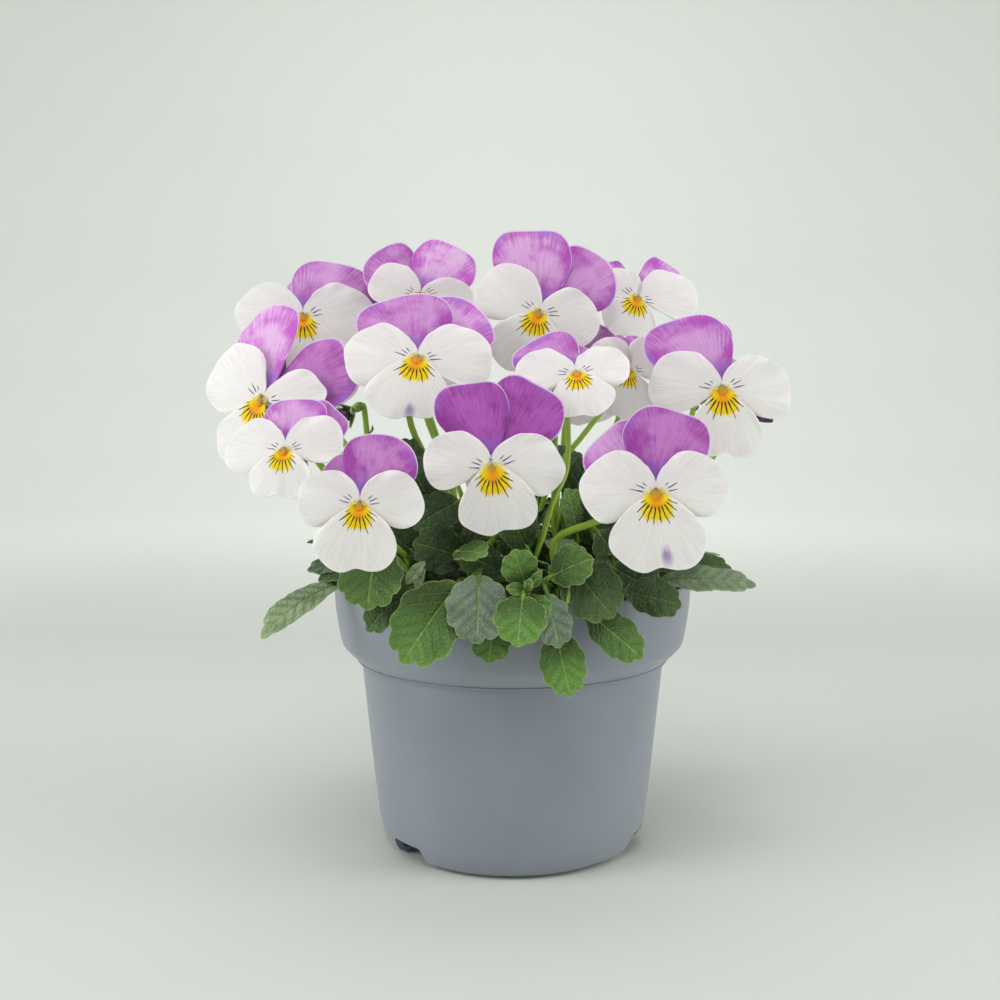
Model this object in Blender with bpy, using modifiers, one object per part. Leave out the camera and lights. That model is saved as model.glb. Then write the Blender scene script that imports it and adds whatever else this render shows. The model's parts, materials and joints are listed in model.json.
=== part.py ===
"""A horned violet in bloom in a round plastic nursery pot, in real size. Lengths are in millimetres until
they reach a mesh. The pot stands on z = 0 with its axis on the z axis, and its front looks along -y."""

import math
import random

import bmesh
import bpy
from mathutils import Matrix, Vector
from mathutils.bvhtree import BVHTree

MM = 0.001
SEED = 11

# Pot: radius and height of each point of the wall, outside and inside.
POT_OUTSIDE = (
    (52.6, 75.5), (52.2, 68.5), (50.6, 59.4), (49.0, 56.7), (45.6, 53.6), (45.1, 52.4), (40.6, 17.5),
    (39.3, 8.0), (38.4, 4.2), (36.8, 1.5), (34.0, 0.0),
)
POT_INSIDE = ((34.6, 1.8), (37.4, 5.0), (43.8, 52.6), (48.4, 57.6), (49.6, 61.0))
POT_LIP = ((51.3, 75.6), (52.0, 76.0))
POT_SIDES = 28
NOTCH_ANGLES = (-50.0, 70.0, 190.0)  # clockwise from the front, seen from below
NOTCH_WIDTH, NOTCH_HEIGHT = 14.6, 5.6
NOTCH_TOP = 0.86  # width of a notch at its top, as a share of its foot's

# Soil: it fills the pot to below the lip and keeps this far from the wall.
SOIL_GAP = 0.4
SOIL_EDGE, SOIL_MIDDLE = 69.0, 71.5
SOIL_FOOT = (34.2, 2.4)
SOIL_SIDES = 18
SOIL_TOP = 70.0
HOLE_DEPTH, HOLE_GAP = 7.0, 0.65

# Radii of the leafy stems, the flower stalks and the leaves' stalks.
STEM_R, STALK_R, PETIOLE_R = 1.5, 0.95, 0.75

# Petal outlines: place across the petal from one edge to the other, then how far it reaches as a share
# of the petal's length. A side petal's first edge is its upper one.
OUTLINE = {
    "upper": (
        (-1, 0.42), (-0.86, 0.72), (-0.66, 0.90), (-0.42, 0.985), (-0.14, 1), (0.14, 1), (0.42, 0.985),
        (0.66, 0.90), (0.86, 0.72), (1, 0.42),
    ),
    "side": (
        (-1, 0.32), (-0.86, 0.54), (-0.67, 0.68), (-0.48, 0.79), (-0.25, 0.90), (0, 0.97), (0.22, 1),
        (0.46, 0.98), (0.7, 0.89), (0.87, 0.73), (1, 0.45),
    ),
    "lower": (
        (-1, 0.45), (-0.88, 0.74), (-0.7, 0.92), (-0.45, 1), (-0.2, 1), (0, 0.95), (0.2, 1), (0.45, 1),
        (0.7, 0.92), (0.88, 0.74), (1, 0.45),
    ),
}
PETAL = 0.7  # thickness of petals, leaves and sepals
LAYER = {"lower": -1.2, "side": 0.0, "upper": 1.5}  # how far each petal lies behind the throat
BEHIND = 1.25  # how far one upper petal lies behind the other
CLAW = 1.5  # how far the foot of an upper petal lies from the throat
SPUR = ((0, -1.7, 0), (0, 3.0, -0.3), (0, 6.0, -1.5), (0, 9.2, -1.9), (0, 12.0, -1.2))
SPUR_R = (1.4, 1.7, 1.2, 0.95, 0.75)

# Sepals behind a bloom: centre, length, radius of the star between them, how far the tips lean back.
SEPALS_AT, SEPAL_LONG, SEPAL_INNER, SEPAL_LEAN = (0, 4.6, 3.1), 8.2, 2.3, 2.6
# The same round a bud, where the lean is forward and a share of the bud's length.
BUD_SEPALS_AT, BUD_SEPAL_LONG, BUD_SEPAL_INNER, BUD_SEPAL_LEAN = (0, 1.6, 0), 3.6, 2.6, -0.62
SEPAL = 0.65  # thickness of sepals
BUD_SPINE, BUD_R = (-0.14, -0.4, -0.7, -1.0), (0.8, 1.7, 1.5, 0.5)  # shares of its length, and radii
# The hooked end of a stalk, in the frame of its bloom or bud.
HOOK = ((0, 4.65, 3.1), (0.2, 7.0, 3.3), (2.2, 9.4, 4.2), (3.6, 10.0, 0.4))
BUD_HOOK = ((0, -0.7, 0), (0, 3.4, 0.6), (0, 5.4, 0.0), (0, 6.4, -2.0))

# Blooms: throat, turn to the right and lift in degrees, size of the spur and sepals, and which upper
# petal lies in front (-1 left, 1 right).
BLOOMS = {
    "a": ((-64.0, 7, 155.4), 12, 16, 1.05, 1),
    "b": ((-70.1, -20, 129.7), -30, 8, 1.15, -1),
    "c": ((-57.9, -52, 116.3), -12, 20, 0.80, -1),
    "d": ((-36.4, -71, 104.2), 4, 4, 0.83, 1),
    "e": ((-26.0, -28, 140.9), 6, 24, 1.05, -1),
    "f": ((-5.5, -52, 113.5), -2, 8, 1.00, -1),
    "g": ((-28.3, 9, 162.0), 2, 10, 0.85, 1),
    "h": ((8.0, -8, 155.2), -4, 2, 0.97, -1),
    "i": ((38.4, 8, 161.0), 14, 22, 0.92, -1),
    "j": ((17.2, -33, 136.4), -4, 34, 0.84, -1),
    "k": ((33.6, -14, 138.1), 12, 0, 0.70, -1),
    "l": ((57.3, -30, 132.6), -2, 10, 1.05, -1),
    "m": ((35.6, -60, 106.4), -4, 6, 1.00, 1),
    "n": ((-71, 36, 129), -128, 14, 0.92, 1),
    "o": ((-30, 54, 147), -170, 20, 0.92, -1),
    "p": ((24, 54, 138), 166, 18, 0.90, 1),
    "q": ((66, 32, 136), 118, 18, 0.92, -1),
    "r": ((-6, 60, 112), 178, 8, 0.88, 1),
    "s": ((45, 46, 100), 140, 8, 0.86, -1),
}
# Petals of each bloom, upper left, upper right, left, right and lower: direction from straight up, half
# the spread, length, and how much longer one edge is than the other.
PETALS = {
    "a": ((0, 36, 12.5, 0), (34, 58, 23.5, 0.34), (-78, 54, 20, 0), (82, 54, 22.5, 0), (180, 56, 17, 0)),
    "b": ((-17, 36, 29, 0), (64, 40, 27, 0.12), (-58, 52, 24.3, 0), (80, 36, 20.5, 0), (203, 46, 22, 0)),
    "c": ((-2, 58, 15.2, 0.05), (42, 42, 16.5, 0), (-80, 52, 16.6, 0), (66, 50, 15.5, 0), (180, 60, 13.5, 0)),
    "d": (
        (-33, 34, 12.4, 0), (24, 53, 17.3, 0.08), (-77, 52, 15, 0), (80, 52, 15.3, 0), (184, 55, 16.9, 0.03),
    ),
    "e": (
        (-14, 60, 23.2, 0), (40, 44, 26, 0), (-78, 53, 20.4, 0), (79, 54, 20.8, 0), (190, 55, 19.2, 0.12),
    ),
    "f": (
        (-18, 43, 22, -0.12), (33, 43, 24, 0), (-84, 48, 17.6, 0), (88, 47, 18.7, 0.05), (171, 48, 19.2, 0),
    ),
    "g": ((-46, 42, 20.6, 0), (35, 52, 20, 0.05), (-64, 48, 16.2, 0), (98, 48, 17.3, 0), (180, 56, 15, 0)),
    "h": ((-6, 46, 25.4, -0.1), (53, 42, 24.6, 0), (-54, 52, 20, 0), (97, 57, 17.8, 0), (198, 58, 19.6, 0)),
    "i": ((-32, 28, 15.5, 0), (49, 31, 21, 0), (-40, 58, 12, 0), (78, 50, 20.2, 0), (205, 52, 15.8, 0)),
    "j": ((-46, 52, 19.2, 0), (20, 36, 12, 0), (-80, 50, 17, 0), (66, 52, 15, 0), (169, 55, 15.2, 0)),
    "k": ((-30, 40, 10, 0), (25, 40, 10, 0), (-50, 50, 12.5, 0), (58, 60, 13.5, 0), (195, 62, 15.2, 0)),
    "l": (
        (-27, 50, 23.6, -0.2), (-8, 28, 20, 0), (-76, 51, 20, 0), (80, 54, 18.8, 0.08),
        (178, 46, 19.8, -0.05),
    ),
    "m": ((-46, 46, 19.8, 0), (13, 52, 21.2, 0), (-79, 55, 18.8, 0), (75, 53, 18.1, 0), (178, 55, 20.5, 0)),
    "n": ((-30, 50, 22, 0), (25, 52, 23, 0), (-78, 53, 18.5, 0), (80, 53, 19, 0), (181, 57, 18.5, 0)),
    "o": ((-24, 50, 23, 0), (34, 48, 22, 0), (-80, 53, 19, 0), (76, 53, 18.5, 0), (178, 57, 18, 0)),
    "p": ((-36, 48, 21.5, 0), (20, 51, 22.5, 0), (-76, 53, 18, 0), (79, 53, 18.5, 0), (183, 57, 18, 0)),
    "q": ((-20, 51, 23, 0), (30, 49, 22, 0), (-79, 53, 18.5, 0), (78, 53, 18, 0), (179, 57, 18.5, 0)),
    "r": ((-32, 50, 21, 0), (26, 50, 22, 0), (-77, 53, 17.5, 0), (81, 53, 17.5, 0), (180, 57, 17.5, 0)),
    "s": ((-26, 50, 21.5, 0), (32, 50, 21, 0), (-81, 53, 17.5, 0), (77, 53, 17, 0), (182, 57, 17, 0)),
}
# Closed buds: place, turn and lift of the pointed end, length.
BUDS = {
    "bud_left": ((-44.5, -30, 125.5), -30, -20, 9.0),
    "bud_right": ((67.5, -15, 127.0), 60, -30, 8.0),
    "bud_back": ((8, 24, 150), 150, 10, 9.0),
}

# Leafy stems: foot on the soil, top, and the blooms and buds whose stalks they carry.
STEMS = {
    "shoot_01": ((2, -24), (3.5, -38, 82), "j"),
    "shoot_02": ((-8, -25), (-9, -37, 80), "f"),
    "shoot_03": ((-20, -21), (-27, -32, 82), "d c"),
    "shoot_04": ((-27, -7), (-38, -12, 84), "b bud_left"),
    "shoot_05": ((-11, -9), (-15, -14, 90), "e g"),
    "shoot_06": ((9, -9), (12, -13, 90), "h k"),
    "shoot_07": ((27, -8), (38, -14, 84), "l bud_right"),
    "shoot_08": ((19, -20), (27, -30, 82), ""),
    "shoot_09": ((22, 14), (32, 20, 86), "q s"),
    "shoot_10": ((10, 21), (14, 32, 84), "p r"),
    "shoot_11": ((-10, 21), (-14, 30, 86), "o"),
    "shoot_12": ((-24, 11), (-34, 16, 86), "n a"),
    "shoot_13": ((5, 6), (7.4, 6.8, 92), "i bud_back"),
    "shoot_14": ((10, -27), (13, -38, 80), "m"),
}
# Stalks seen between the blooms pass these places on their way down.
STALK_BY = {
    "j": ((15.5, -22, 123), (15, -27, 110), (11, -32, 101), (7.5, -35, 90)),
    "m": ((30, -47, 101), (22, -45, 97), (11, -42, 91.5)),
}

# Leaves seen in front: stem, base, tip, width, way the upper face looks, arch, fold.
LEAVES = (
    ("shoot_04", (-46.5, -24, 78.2), (-66.5, -40, 65.5), 9.5, (-0.3, -0.8, 0.8), 3.0, 0.15),
    ("shoot_04", (-46.5, -18, 82), (-57.5, -22, 81), 6.0, (0, -0.8, 0.8), 0.8, 0.2),
    ("shoot_03", (-35, -47, 91), (-36.5, -55, 75.5), 17.0, (-0.1, -1, 0.35), 1.5, 0.1),
    ("shoot_03", (-26, -46.5, 79), (-37, -51.5, 69.5), 10.5, (-0.2, -0.9, 0.6), 2.0, 0.15),
    ("shoot_03", (-26, -38, 88), (-37, -41, 97), 12.0, (-0.2, -1, 0.4), 1.0, 0.12),
    ("shoot_02", (-14, -49, 81.5), (-27.5, -60, 63), 18.5, (0, -1, 0.4), 2.0, 0.12),
    ("shoot_02", (-8.5, -52.5, 84), (-8.8, -60, 68), 16.5, (0, -1, 0.35), 1.2, 0.1),
    ("shoot_02", (-4.5, -54.2, 73.5), (-6, -56, 62.5), 10.5, (0, -1, 0.15), 0.6, 0.1),
    ("shoot_02", (-12, -36, 86), (-26.5, -40, 91), 13.0, (-0.1, -1, 0.4), 1.0, 0.12),
    ("shoot_02", (-2, -42.5, 83), (-13.5, -44.5, 89), 10.0, (-0.1, -1, 0.3), 1.0, 0.12),
    ("shoot_01", (4, -38, 89), (-1, -39, 99), 10.0, (0, -1, 0.3), 1.0, 0.12),
    ("shoot_01", (3.2, -57, 82.5), (0.4, -60, 91.5), 9.5, (0, -1, 0.1), 0.8, 0.15),
    ("shoot_01", (2.6, -60, 80), (1.2, -66, 68.5), 13.5, (0, -1, 0.5), 1.6, 0.12),
    ("shoot_14", (8.8, -54, 79.5), (11.5, -60, 67), 9.5, (0.1, -1, 0.3), 0.8, 0.1),
    ("shoot_14", (9.5, -52, 83.5), (20.5, -54, 88.5), 11.0, (0.1, -0.9, 0.5), 1.0, 0.15),
    ("shoot_14", (13, -48, 87.5), (25.5, -54.5, 73.5), 16.0, (0.1, -1, 0.4), 1.2, 0.12),
    ("shoot_14", (19, -51.8, 74.5), (33, -53, 63), 11.0, (0.1, -1, 0.3), 0.8, 0.1),
    ("shoot_14", (10.8, -54.8, 70), (14.5, -58, 54.5), 12.0, (0, -1, 0.2), 1.0, 0.1),
    ("shoot_08", (23, -30.5, 93), (31, -32.5, 82), 12.0, (0.1, -1, 0.5), 1.2, 0.12),
    ("shoot_14", (26, -40.5, 84.5), (38.5, -45.5, 77.5), 12.0, (0.1, -1, 0.5), 1.2, 0.12),
    ("shoot_14", (29, -46, 79), (44, -45, 75), 10.5, (0.2, -1, 0.4), 1.0, 0.12),
    ("shoot_07", (40, -33, 79.8), (65, -38, 79.2), 8.5, (0.1, -0.8, 0.8), 1.5, 0.15),
    ("shoot_07", (37, -25, 83), (60, -30, 82.5), 9.0, (0.1, -0.8, 0.8), 1.5, 0.15),
    ("shoot_05", (-22, -26, 100), (-29, -29, 113), 12.0, (-0.2, -1, 0.3), 1.5, 0.12),
    ("shoot_05", (-14.5, -28, 101), (-27, -32, 94), 12.5, (-0.2, -1, 0.3), 1.2, 0.12),
    ("shoot_05", (-24, -18, 104), (-31, -18, 118), 10.0, (-0.4, -1, 0.2), 1.0, 0.12),
    ("shoot_06", (16, -17, 99), (22, -18, 113), 10.5, (0.2, -1, 0.2), 1.0, 0.12),
    ("shoot_06", (17, -23.5, 91), (28, -26, 99), 12.0, (0.1, -1, 0.3), 1.0, 0.12),
)
FILL, FILL_TRIES = 24, 9000  # leaves placed by the seeded rule, and the most tries that it takes
# Which side of the spur a bloom's hooked stalk passes on, where it isn't the right.
HOOK_SIDE = {"a": -1, "c": -1, "e": -1, "g": -1, "j": -1, "m": -1, "n": -1, "q": -1}
STALK_TRIES, PETIOLE_TRIES = 160, 120


def through(rows, t):
    """A smooth curve through equally spaced rows of numbers, at t from 0 to 1."""
    at = min(max(t, 0.0), 1.0) * (len(rows) - 1)
    i = min(int(at), len(rows) - 2)
    f = at - i
    a, b, c, d = (rows[min(max(i + k, 0), len(rows) - 1)] for k in (-1, 0, 1, 2))
    return tuple(
        q + 0.5 * f * (r - p + f * (2 * p - 5 * q + 4 * r - s + f * (3 * (q - r) + s - p)))
        for p, q, r, s in zip(a, b, c, d)
    )


def facing(place, turn, lift):
    """The frame of a bloom or bud, which looks along its own -y."""
    spin = Matrix.Rotation(math.radians(turn), 4, "Z") @ Matrix.Rotation(-math.radians(lift), 4, "X")
    return Matrix.Translation(place) @ spin


def behind(row):
    """The frame for a bloom's spur, sepals and hooked stalk."""
    return facing(*row[:3]) @ Matrix.Diagonal((row[3], 1, row[3], 1))


def petal_point(kind, petal, side, front, waves, u, v):
    """A point of a petal in the bloom's own frame: u runs round its edge, v outwards from the throat."""
    axis, half, length, skew = petal
    place, share = through(OUTLINE[kind], u)
    edge = math.radians(axis + (-half if kind == "side" and side < 0 else half) * place)
    reach = length * share * (1 + skew * place) * v
    x, z = reach * math.sin(edge), reach * math.cos(edge)
    wave = waves[0] * v**3 * math.sin(2 * math.pi * (waves[1] * u + waves[2]))
    depth = LAYER[kind] + 1.5 * (x * x + z * z) / 400 + wave
    if kind == "upper":
        claw = math.radians(70 * (2 * u - 1))
        x += CLAW * (1 - v) * math.sin(claw)
        z += 1.8 * CLAW * (1 - v)
        depth += 0.12 * z + (0 if front else BEHIND)
    return Vector((x, depth, z))


def bloom_waves(letter):
    """Height, number and start of the ruffles of each petal."""
    draw = random.Random(SEED * 100 + ord(letter))
    names = (("lower", 1), ("side", -1), ("side", 1), ("upper", -1), ("upper", 1))
    return {key: (draw.uniform(0.3, 0.5), draw.uniform(1.6, 2.6), draw.random()) for key in names}


def leaf_frame(row):
    """A leaf's foot, the way to its tip, the way across it and the way its upper face looks."""
    base, along = Vector(row[1]), Vector(row[2]) - Vector(row[1])
    across = along.cross(Vector(row[4])).normalized()
    return base, along, across, across.cross(along).normalized()


def leaf_point(row, u, v):
    """A point of a leaf: u from -1 to 1 across it, v from 0 at its stalk to 1 at its tip."""
    base, along, across, up = leaf_frame(row)
    width, arch, fold = row[3], row[5], row[6]
    half = 0.5 * width * math.sin(math.pi * v**0.86) ** 0.7 * (1 - 0.07 * math.cos(6 * math.pi * v))
    lift = 4 * arch * v * (1 - v) + fold * half * abs(u)
    return base + along * v + across * (half * u) + up * lift


def blade_tree(row):
    """The leaf's blade as a search tree, without its stalk."""
    points = [leaf_point(row, u, v / 8) for v in range(9) for u in (-1, -0.5, 0, 0.5, 1)]
    faces = [(5 * v + u, 5 * v + u + 1, 5 * v + u + 6, 5 * v + u + 5) for v in range(8) for u in range(4)]
    return BVHTree.FromPolygons(points, faces)


def stem_path(foot, top):
    low = Vector((foot[0], foot[1], SOIL_TOP - HOLE_DEPTH + 1.5))
    ground = Vector((foot[0], foot[1], SOIL_TOP + 3))
    top = Vector(top)
    middle = ground.lerp(top, 0.55) + Vector((0, 0, 1.5))
    return [low, ground, middle, top]


def hook_path(frame, side):
    """The hooked end of a stalk behind a bloom, passing its spur on the left (-1) or right (1)."""
    return [frame @ Vector((x * side, y, z)) for x, y, z in HOOK]


def bezier(a, b, c, d, t):
    s = 1 - t
    return a * s**3 + b * (3 * s * s * t) + c * (3 * s * t * t) + d * t**3


class Field:
    """Everything placed so far, as search trees, so that a new stalk or leaf can be tried against it."""

    def __init__(self):
        self.trees = []

    def add(self, owner, mesh, kind=""):
        points = [v.co / MM for v in mesh.vertices]
        faces = [tuple(p.vertices) for p in mesh.polygons]
        self.trees.append((owner, kind, BVHTree.FromPolygons(points, faces)))

    def room(self, points, own, reach, near_own=0.0):
        """True where no point comes within reach of another node, nor within near_own of its own leaves."""
        for owner, kind, tree in self.trees:
            limit = reach if owner != own else near_own if kind != "stem" else 0.0
            if limit > 0 and any(tree.find_nearest(p, limit)[0] is not None for p in points):
                return False
        return True


def clear_scene():
    for obj in list(bpy.data.objects):
        bpy.data.objects.remove(obj, do_unlink=True)


def material(name, colour, roughness, metallic=0.0):
    mat = bpy.data.materials.new(name)
    mat.use_nodes = True
    shader = mat.node_tree.nodes["Principled BSDF"]
    shader.inputs["Base Color"].default_value = (*colour, 1)
    shader.inputs["Roughness"].default_value = roughness
    shader.inputs["Metallic"].default_value = metallic
    mat.diffuse_color = (*colour, 1)
    return mat


def realise(obj):
    """Puts the object's modifiers into its mesh, and makes a curve a mesh."""
    graph = bpy.context.evaluated_depsgraph_get()
    mesh = bpy.data.meshes.new_from_object(obj.evaluated_get(graph))
    bm = bmesh.new()
    bm.from_mesh(mesh)
    bmesh.ops.remove_doubles(bm, verts=bm.verts, dist=1e-6)
    bmesh.ops.triangulate(bm, faces=bm.faces[:])
    bmesh.ops.recalc_face_normals(bm, faces=bm.faces[:])
    bm.to_mesh(mesh)
    bm.free()
    made = bpy.data.objects.new(obj.name, mesh)
    WORK.objects.link(made)
    bpy.data.objects.remove(obj, do_unlink=True)
    return made


def mesh_object(name, bm):
    mesh = bpy.data.meshes.new(name)
    bm.to_mesh(mesh)
    bm.free()
    obj = bpy.data.objects.new(name, mesh)
    WORK.objects.link(obj)
    return obj


def sheet(place, across, along, thick=PETAL):
    """A thin blade: a grid whose corners place(u, v) puts, with u and v from 0 to 1."""
    bm = bmesh.new()
    bmesh.ops.create_grid(bm, x_segments=across, y_segments=along, size=0.5)
    for v in bm.verts:
        v.co = place(v.co.x + 0.5, v.co.y + 0.5) * MM
    bmesh.ops.remove_doubles(bm, verts=bm.verts, dist=1e-6)
    bmesh.ops.triangulate(bm, faces=bm.faces[:])
    obj = mesh_object("blade", bm)
    solid = obj.modifiers.new("thick", "SOLIDIFY")
    solid.thickness = thick * MM
    solid.offset = 0
    return realise(obj)


def tube(points, radii, ring=0):
    """A round stalk along the points. ring 0 gives it four sides, 1 gives six, 2 gives eight."""
    curve = bpy.data.curves.new("stalk", "CURVE")
    curve.dimensions = "3D"
    curve.fill_mode = "FULL"
    curve.bevel_depth = MM
    curve.bevel_resolution = ring
    curve.use_fill_caps = True
    spline = curve.splines.new("POLY")
    spline.points.add(len(points) - 1)
    for at, point, radius in zip(spline.points, points, radii):
        at.co = (*(Vector(point) * MM), 1)
        at.radius = radius
    obj = bpy.data.objects.new("stalk", curve)
    WORK.objects.link(obj)
    return realise(obj)


def fuse(name, pieces, mat):
    """Joins closed pieces into one named solid."""
    first, rest = pieces[0], pieces[1:]
    if rest:
        others = bpy.data.collections.new("joined")
        bpy.context.scene.collection.children.link(others)
        for obj in rest:
            others.objects.link(obj)
        union = first.modifiers.new("join", "BOOLEAN")
        union.operation = "UNION"
        union.operand_type = "COLLECTION"
        union.collection = others
        union.solver = "MANIFOLD"
        first = realise(first)
        for obj in rest:
            bpy.data.objects.remove(obj, do_unlink=True)
        bpy.data.collections.remove(others)
    tidy(first.data)
    first.name = first.data.name = name
    first.data.materials.clear()
    first.data.materials.append(mat)
    WORK.objects.unlink(first)
    OBJECT.objects.link(first)
    return first


def tidy(mesh):
    """Welds slivers and drops any loose scrap, keeping the largest body."""
    bm = bmesh.new()
    bm.from_mesh(mesh)
    left = set(bm.faces)
    bodies = []
    while left:
        body, rim = set(), [left.pop()]
        while rim:
            face = rim.pop()
            body.add(face)
            beside = {f for e in face.edges if len(e.link_faces) == 2 for f in e.link_faces} & left
            left -= beside
            rim += beside
        bodies.append(body)
    bodies.sort(key=len)
    scraps = [face for body in bodies[:-1] for face in body]
    bmesh.ops.delete(bm, geom=scraps, context="FACES")
    bmesh.ops.dissolve_limit(bm, angle_limit=math.radians(0.3), verts=bm.verts, edges=bm.edges)
    bmesh.ops.triangulate(bm, faces=bm.faces[:])
    bm.to_mesh(mesh)
    bm.free()


def lathe(profile, sides):
    bm = bmesh.new()
    row = [bm.verts.new((r * MM, 0, z * MM)) for r, z in profile]
    for a, b in zip(row, row[1:]):
        bm.edges.new((a, b))
    obj = mesh_object("lathe", bm)
    screw = obj.modifiers.new("turn", "SCREW")
    screw.axis = "Z"
    screw.steps = screw.render_steps = sides
    screw.use_merge_vertices = True
    screw.merge_threshold = 0.00005
    return obj


def cut(obj, cutter):
    """Takes the cutter out of the object."""
    CUTTERS.objects.link(cutter)
    WORK.objects.unlink(cutter)
    cutter.hide_render = True
    cutter.display_type = "WIRE"
    mod = obj.modifiers.new("cut", "BOOLEAN")
    mod.operation = "DIFFERENCE"
    mod.object = cutter
    mod.solver = "EXACT"


def make_pot():
    profile = [(0, 1.8), *POT_INSIDE, *POT_LIP, *POT_OUTSIDE, (0, 0)]
    pot = lathe(profile, POT_SIDES)
    for angle in NOTCH_ANGLES:
        turn = Matrix.Rotation(math.radians(angle), 4, "Z")
        bm = bmesh.new()
        bmesh.ops.create_cube(bm, size=1.0)
        for v in bm.verts:
            top = v.co.z > 0
            wide = NOTCH_WIDTH * (NOTCH_TOP if top else 1.0)
            v.co = turn @ Vector((v.co.x * wide, -34.0 + v.co.y * 18, NOTCH_HEIGHT if top else -3.0)) * MM
        cut(pot, mesh_object("notch_cutter", bm))
    return fuse("pot", [realise(pot)], MATERIALS["pot"])


def make_soil():
    inside = [(r - SOIL_GAP, z) for r, z in POT_INSIDE[1:]]
    high = POT_INSIDE[-1]
    lip = POT_LIP[0]
    share = (SOIL_EDGE - high[1]) / (lip[1] - high[1])
    rim = (high[0] + (lip[0] - high[0]) * share - SOIL_GAP, SOIL_EDGE)
    profile = [(0, SOIL_MIDDLE), (14, SOIL_MIDDLE), (34, SOIL_MIDDLE - 0.8), rim]
    profile += [*reversed(inside[1:]), SOIL_FOOT, (0, SOIL_FOOT[1])]
    soil = realise(lathe(profile, SOIL_SIDES))
    draw = random.Random(SEED)
    for v in soil.data.vertices:
        if v.co.z > (SOIL_EDGE + 0.3) * MM and v.co.xy.length > 5 * MM:
            v.co.z += draw.uniform(-0.6, 0.6) * MM
    above = 4.0
    for foot, _, _ in STEMS.values():
        bm = bmesh.new()
        at = Matrix.Translation(Vector((*foot, SOIL_TOP + (above - HOLE_DEPTH) / 2)) * MM)
        wide, deep = (STEM_R + HOLE_GAP) * MM, (HOLE_DEPTH + above) * MM
        bmesh.ops.create_cone(
            bm, cap_ends=True, segments=6, radius1=wide, radius2=wide, depth=deep, matrix=at,
        )
        cut(soil, mesh_object("hole_cutter", bm))
    return fuse("soil", [realise(soil)], MATERIALS["soil"])


def make_bloom(letter, row):
    """A bloom's two solids: its three white petals with the spur, and its two mauve petals."""
    frame, back = facing(*row[:3]), behind(row)
    waves = bloom_waves(letter)
    size, front = row[3:]
    upper_left, upper_right, left, right, low = PETALS[letter]
    upper = {-1: upper_left, 1: upper_right}

    def petal(kind, side, shape, across, along):
        def place(u, v):
            return frame @ petal_point(kind, shape, side, False, waves[kind, side], u, v)

        return sheet(place, across, along)

    spur = tube([back @ Vector(p) for p in SPUR], [r * size for r in SPUR_R])
    white = [petal("lower", 1, low, 6, 2), petal("side", -1, left, 4, 2), petal("side", 1, right, 4, 2), spur]
    fuse("bloom_white_" + letter, white, MATERIALS["white"])

    def pair(u, v):
        """Both upper petals in one sheet, folded where they join: v runs up one and down the other."""
        step = round(v * 5)
        near = step < 3
        out = (1.0, 0.5, 0.0)[step] if near else (0.0, 0.5, 1.0)[step - 3]
        side = front if near else -front
        return frame @ petal_point("upper", upper[side], side, near, waves["upper", side], u, out)

    fuse("bloom_mauve_" + letter, [sheet(pair, 5, 5)], MATERIALS["mauve"])


def star(frame, centre, reach, inner, lean):
    """Five sepals in one thin star, whose tips lean back, or forward where the lean is below 0."""
    bm = bmesh.new()
    bmesh.ops.create_circle(bm, cap_ends=True, cap_tris=True, segments=10, radius=1.0)
    for v in bm.verts:
        away = v.co.length
        step = round(math.atan2(v.co.x, v.co.y) / (math.pi / 5))
        far = 0.0 if away < 0.5 else reach if step % 2 == 0 else inner
        turn = step * math.pi / 5
        local = Vector(centre) + Vector((far * math.sin(turn), lean * far / reach, far * math.cos(turn)))
        v.co = (frame @ local) * MM
    obj = mesh_object("sepals", bm)
    solid = obj.modifiers.new("thick", "SOLIDIFY")
    solid.thickness = SEPAL * MM
    solid.offset = 0
    return realise(obj)


def stalk_samples(path, step=1.5):
    points = []
    for a, b in zip(path, path[1:]):
        n = max(1, int((b - a).length / step))
        points += [a.lerp(b, k / n) for k in range(n)]
    return [*points, path[-1]]


def stalk_try(name, hook, top, k):
    """A stalk from the hook down to the stem's top. Each further try strays more, by draws of its own."""
    draw = random.Random(f"{SEED} stalk {name} {k}")
    shift = [Vector((draw.gauss(0, 1), draw.gauss(0, 1), draw.gauss(0, 0.5))) * 0.12 * k for _ in "ab"]
    start, down = hook[-1], (hook[-1] - hook[-2]).normalized()
    by = [Vector(p) for p in STALK_BY.get(name, ())]
    if by and k < STALK_TRIES / 2:
        return [*hook, *[p + shift[0] * 0.2 for p in by], top]
    fall = start.z - top.z
    b = start + down * 3 + Vector((0, 0, -max(8.0, 0.45 * fall))) + shift[0]
    c = top + Vector((0, 0, 0.35 * fall)) + shift[1]
    return [*hook, *[bezier(start, b, c, top, t) for t in (0.25, 0.5, 0.75, 1.0)]]


def clear_stalk(name, hook, top, field, own):
    """The first try that keeps clear of everything else."""
    for k in range(STALK_TRIES):
        path = stalk_try(name, hook, top, k)
        if field.room(stalk_samples(path[1:-1]), own, STALK_R + 0.5):
            return path
    return stalk_try(name, hook, top, 0)


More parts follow.
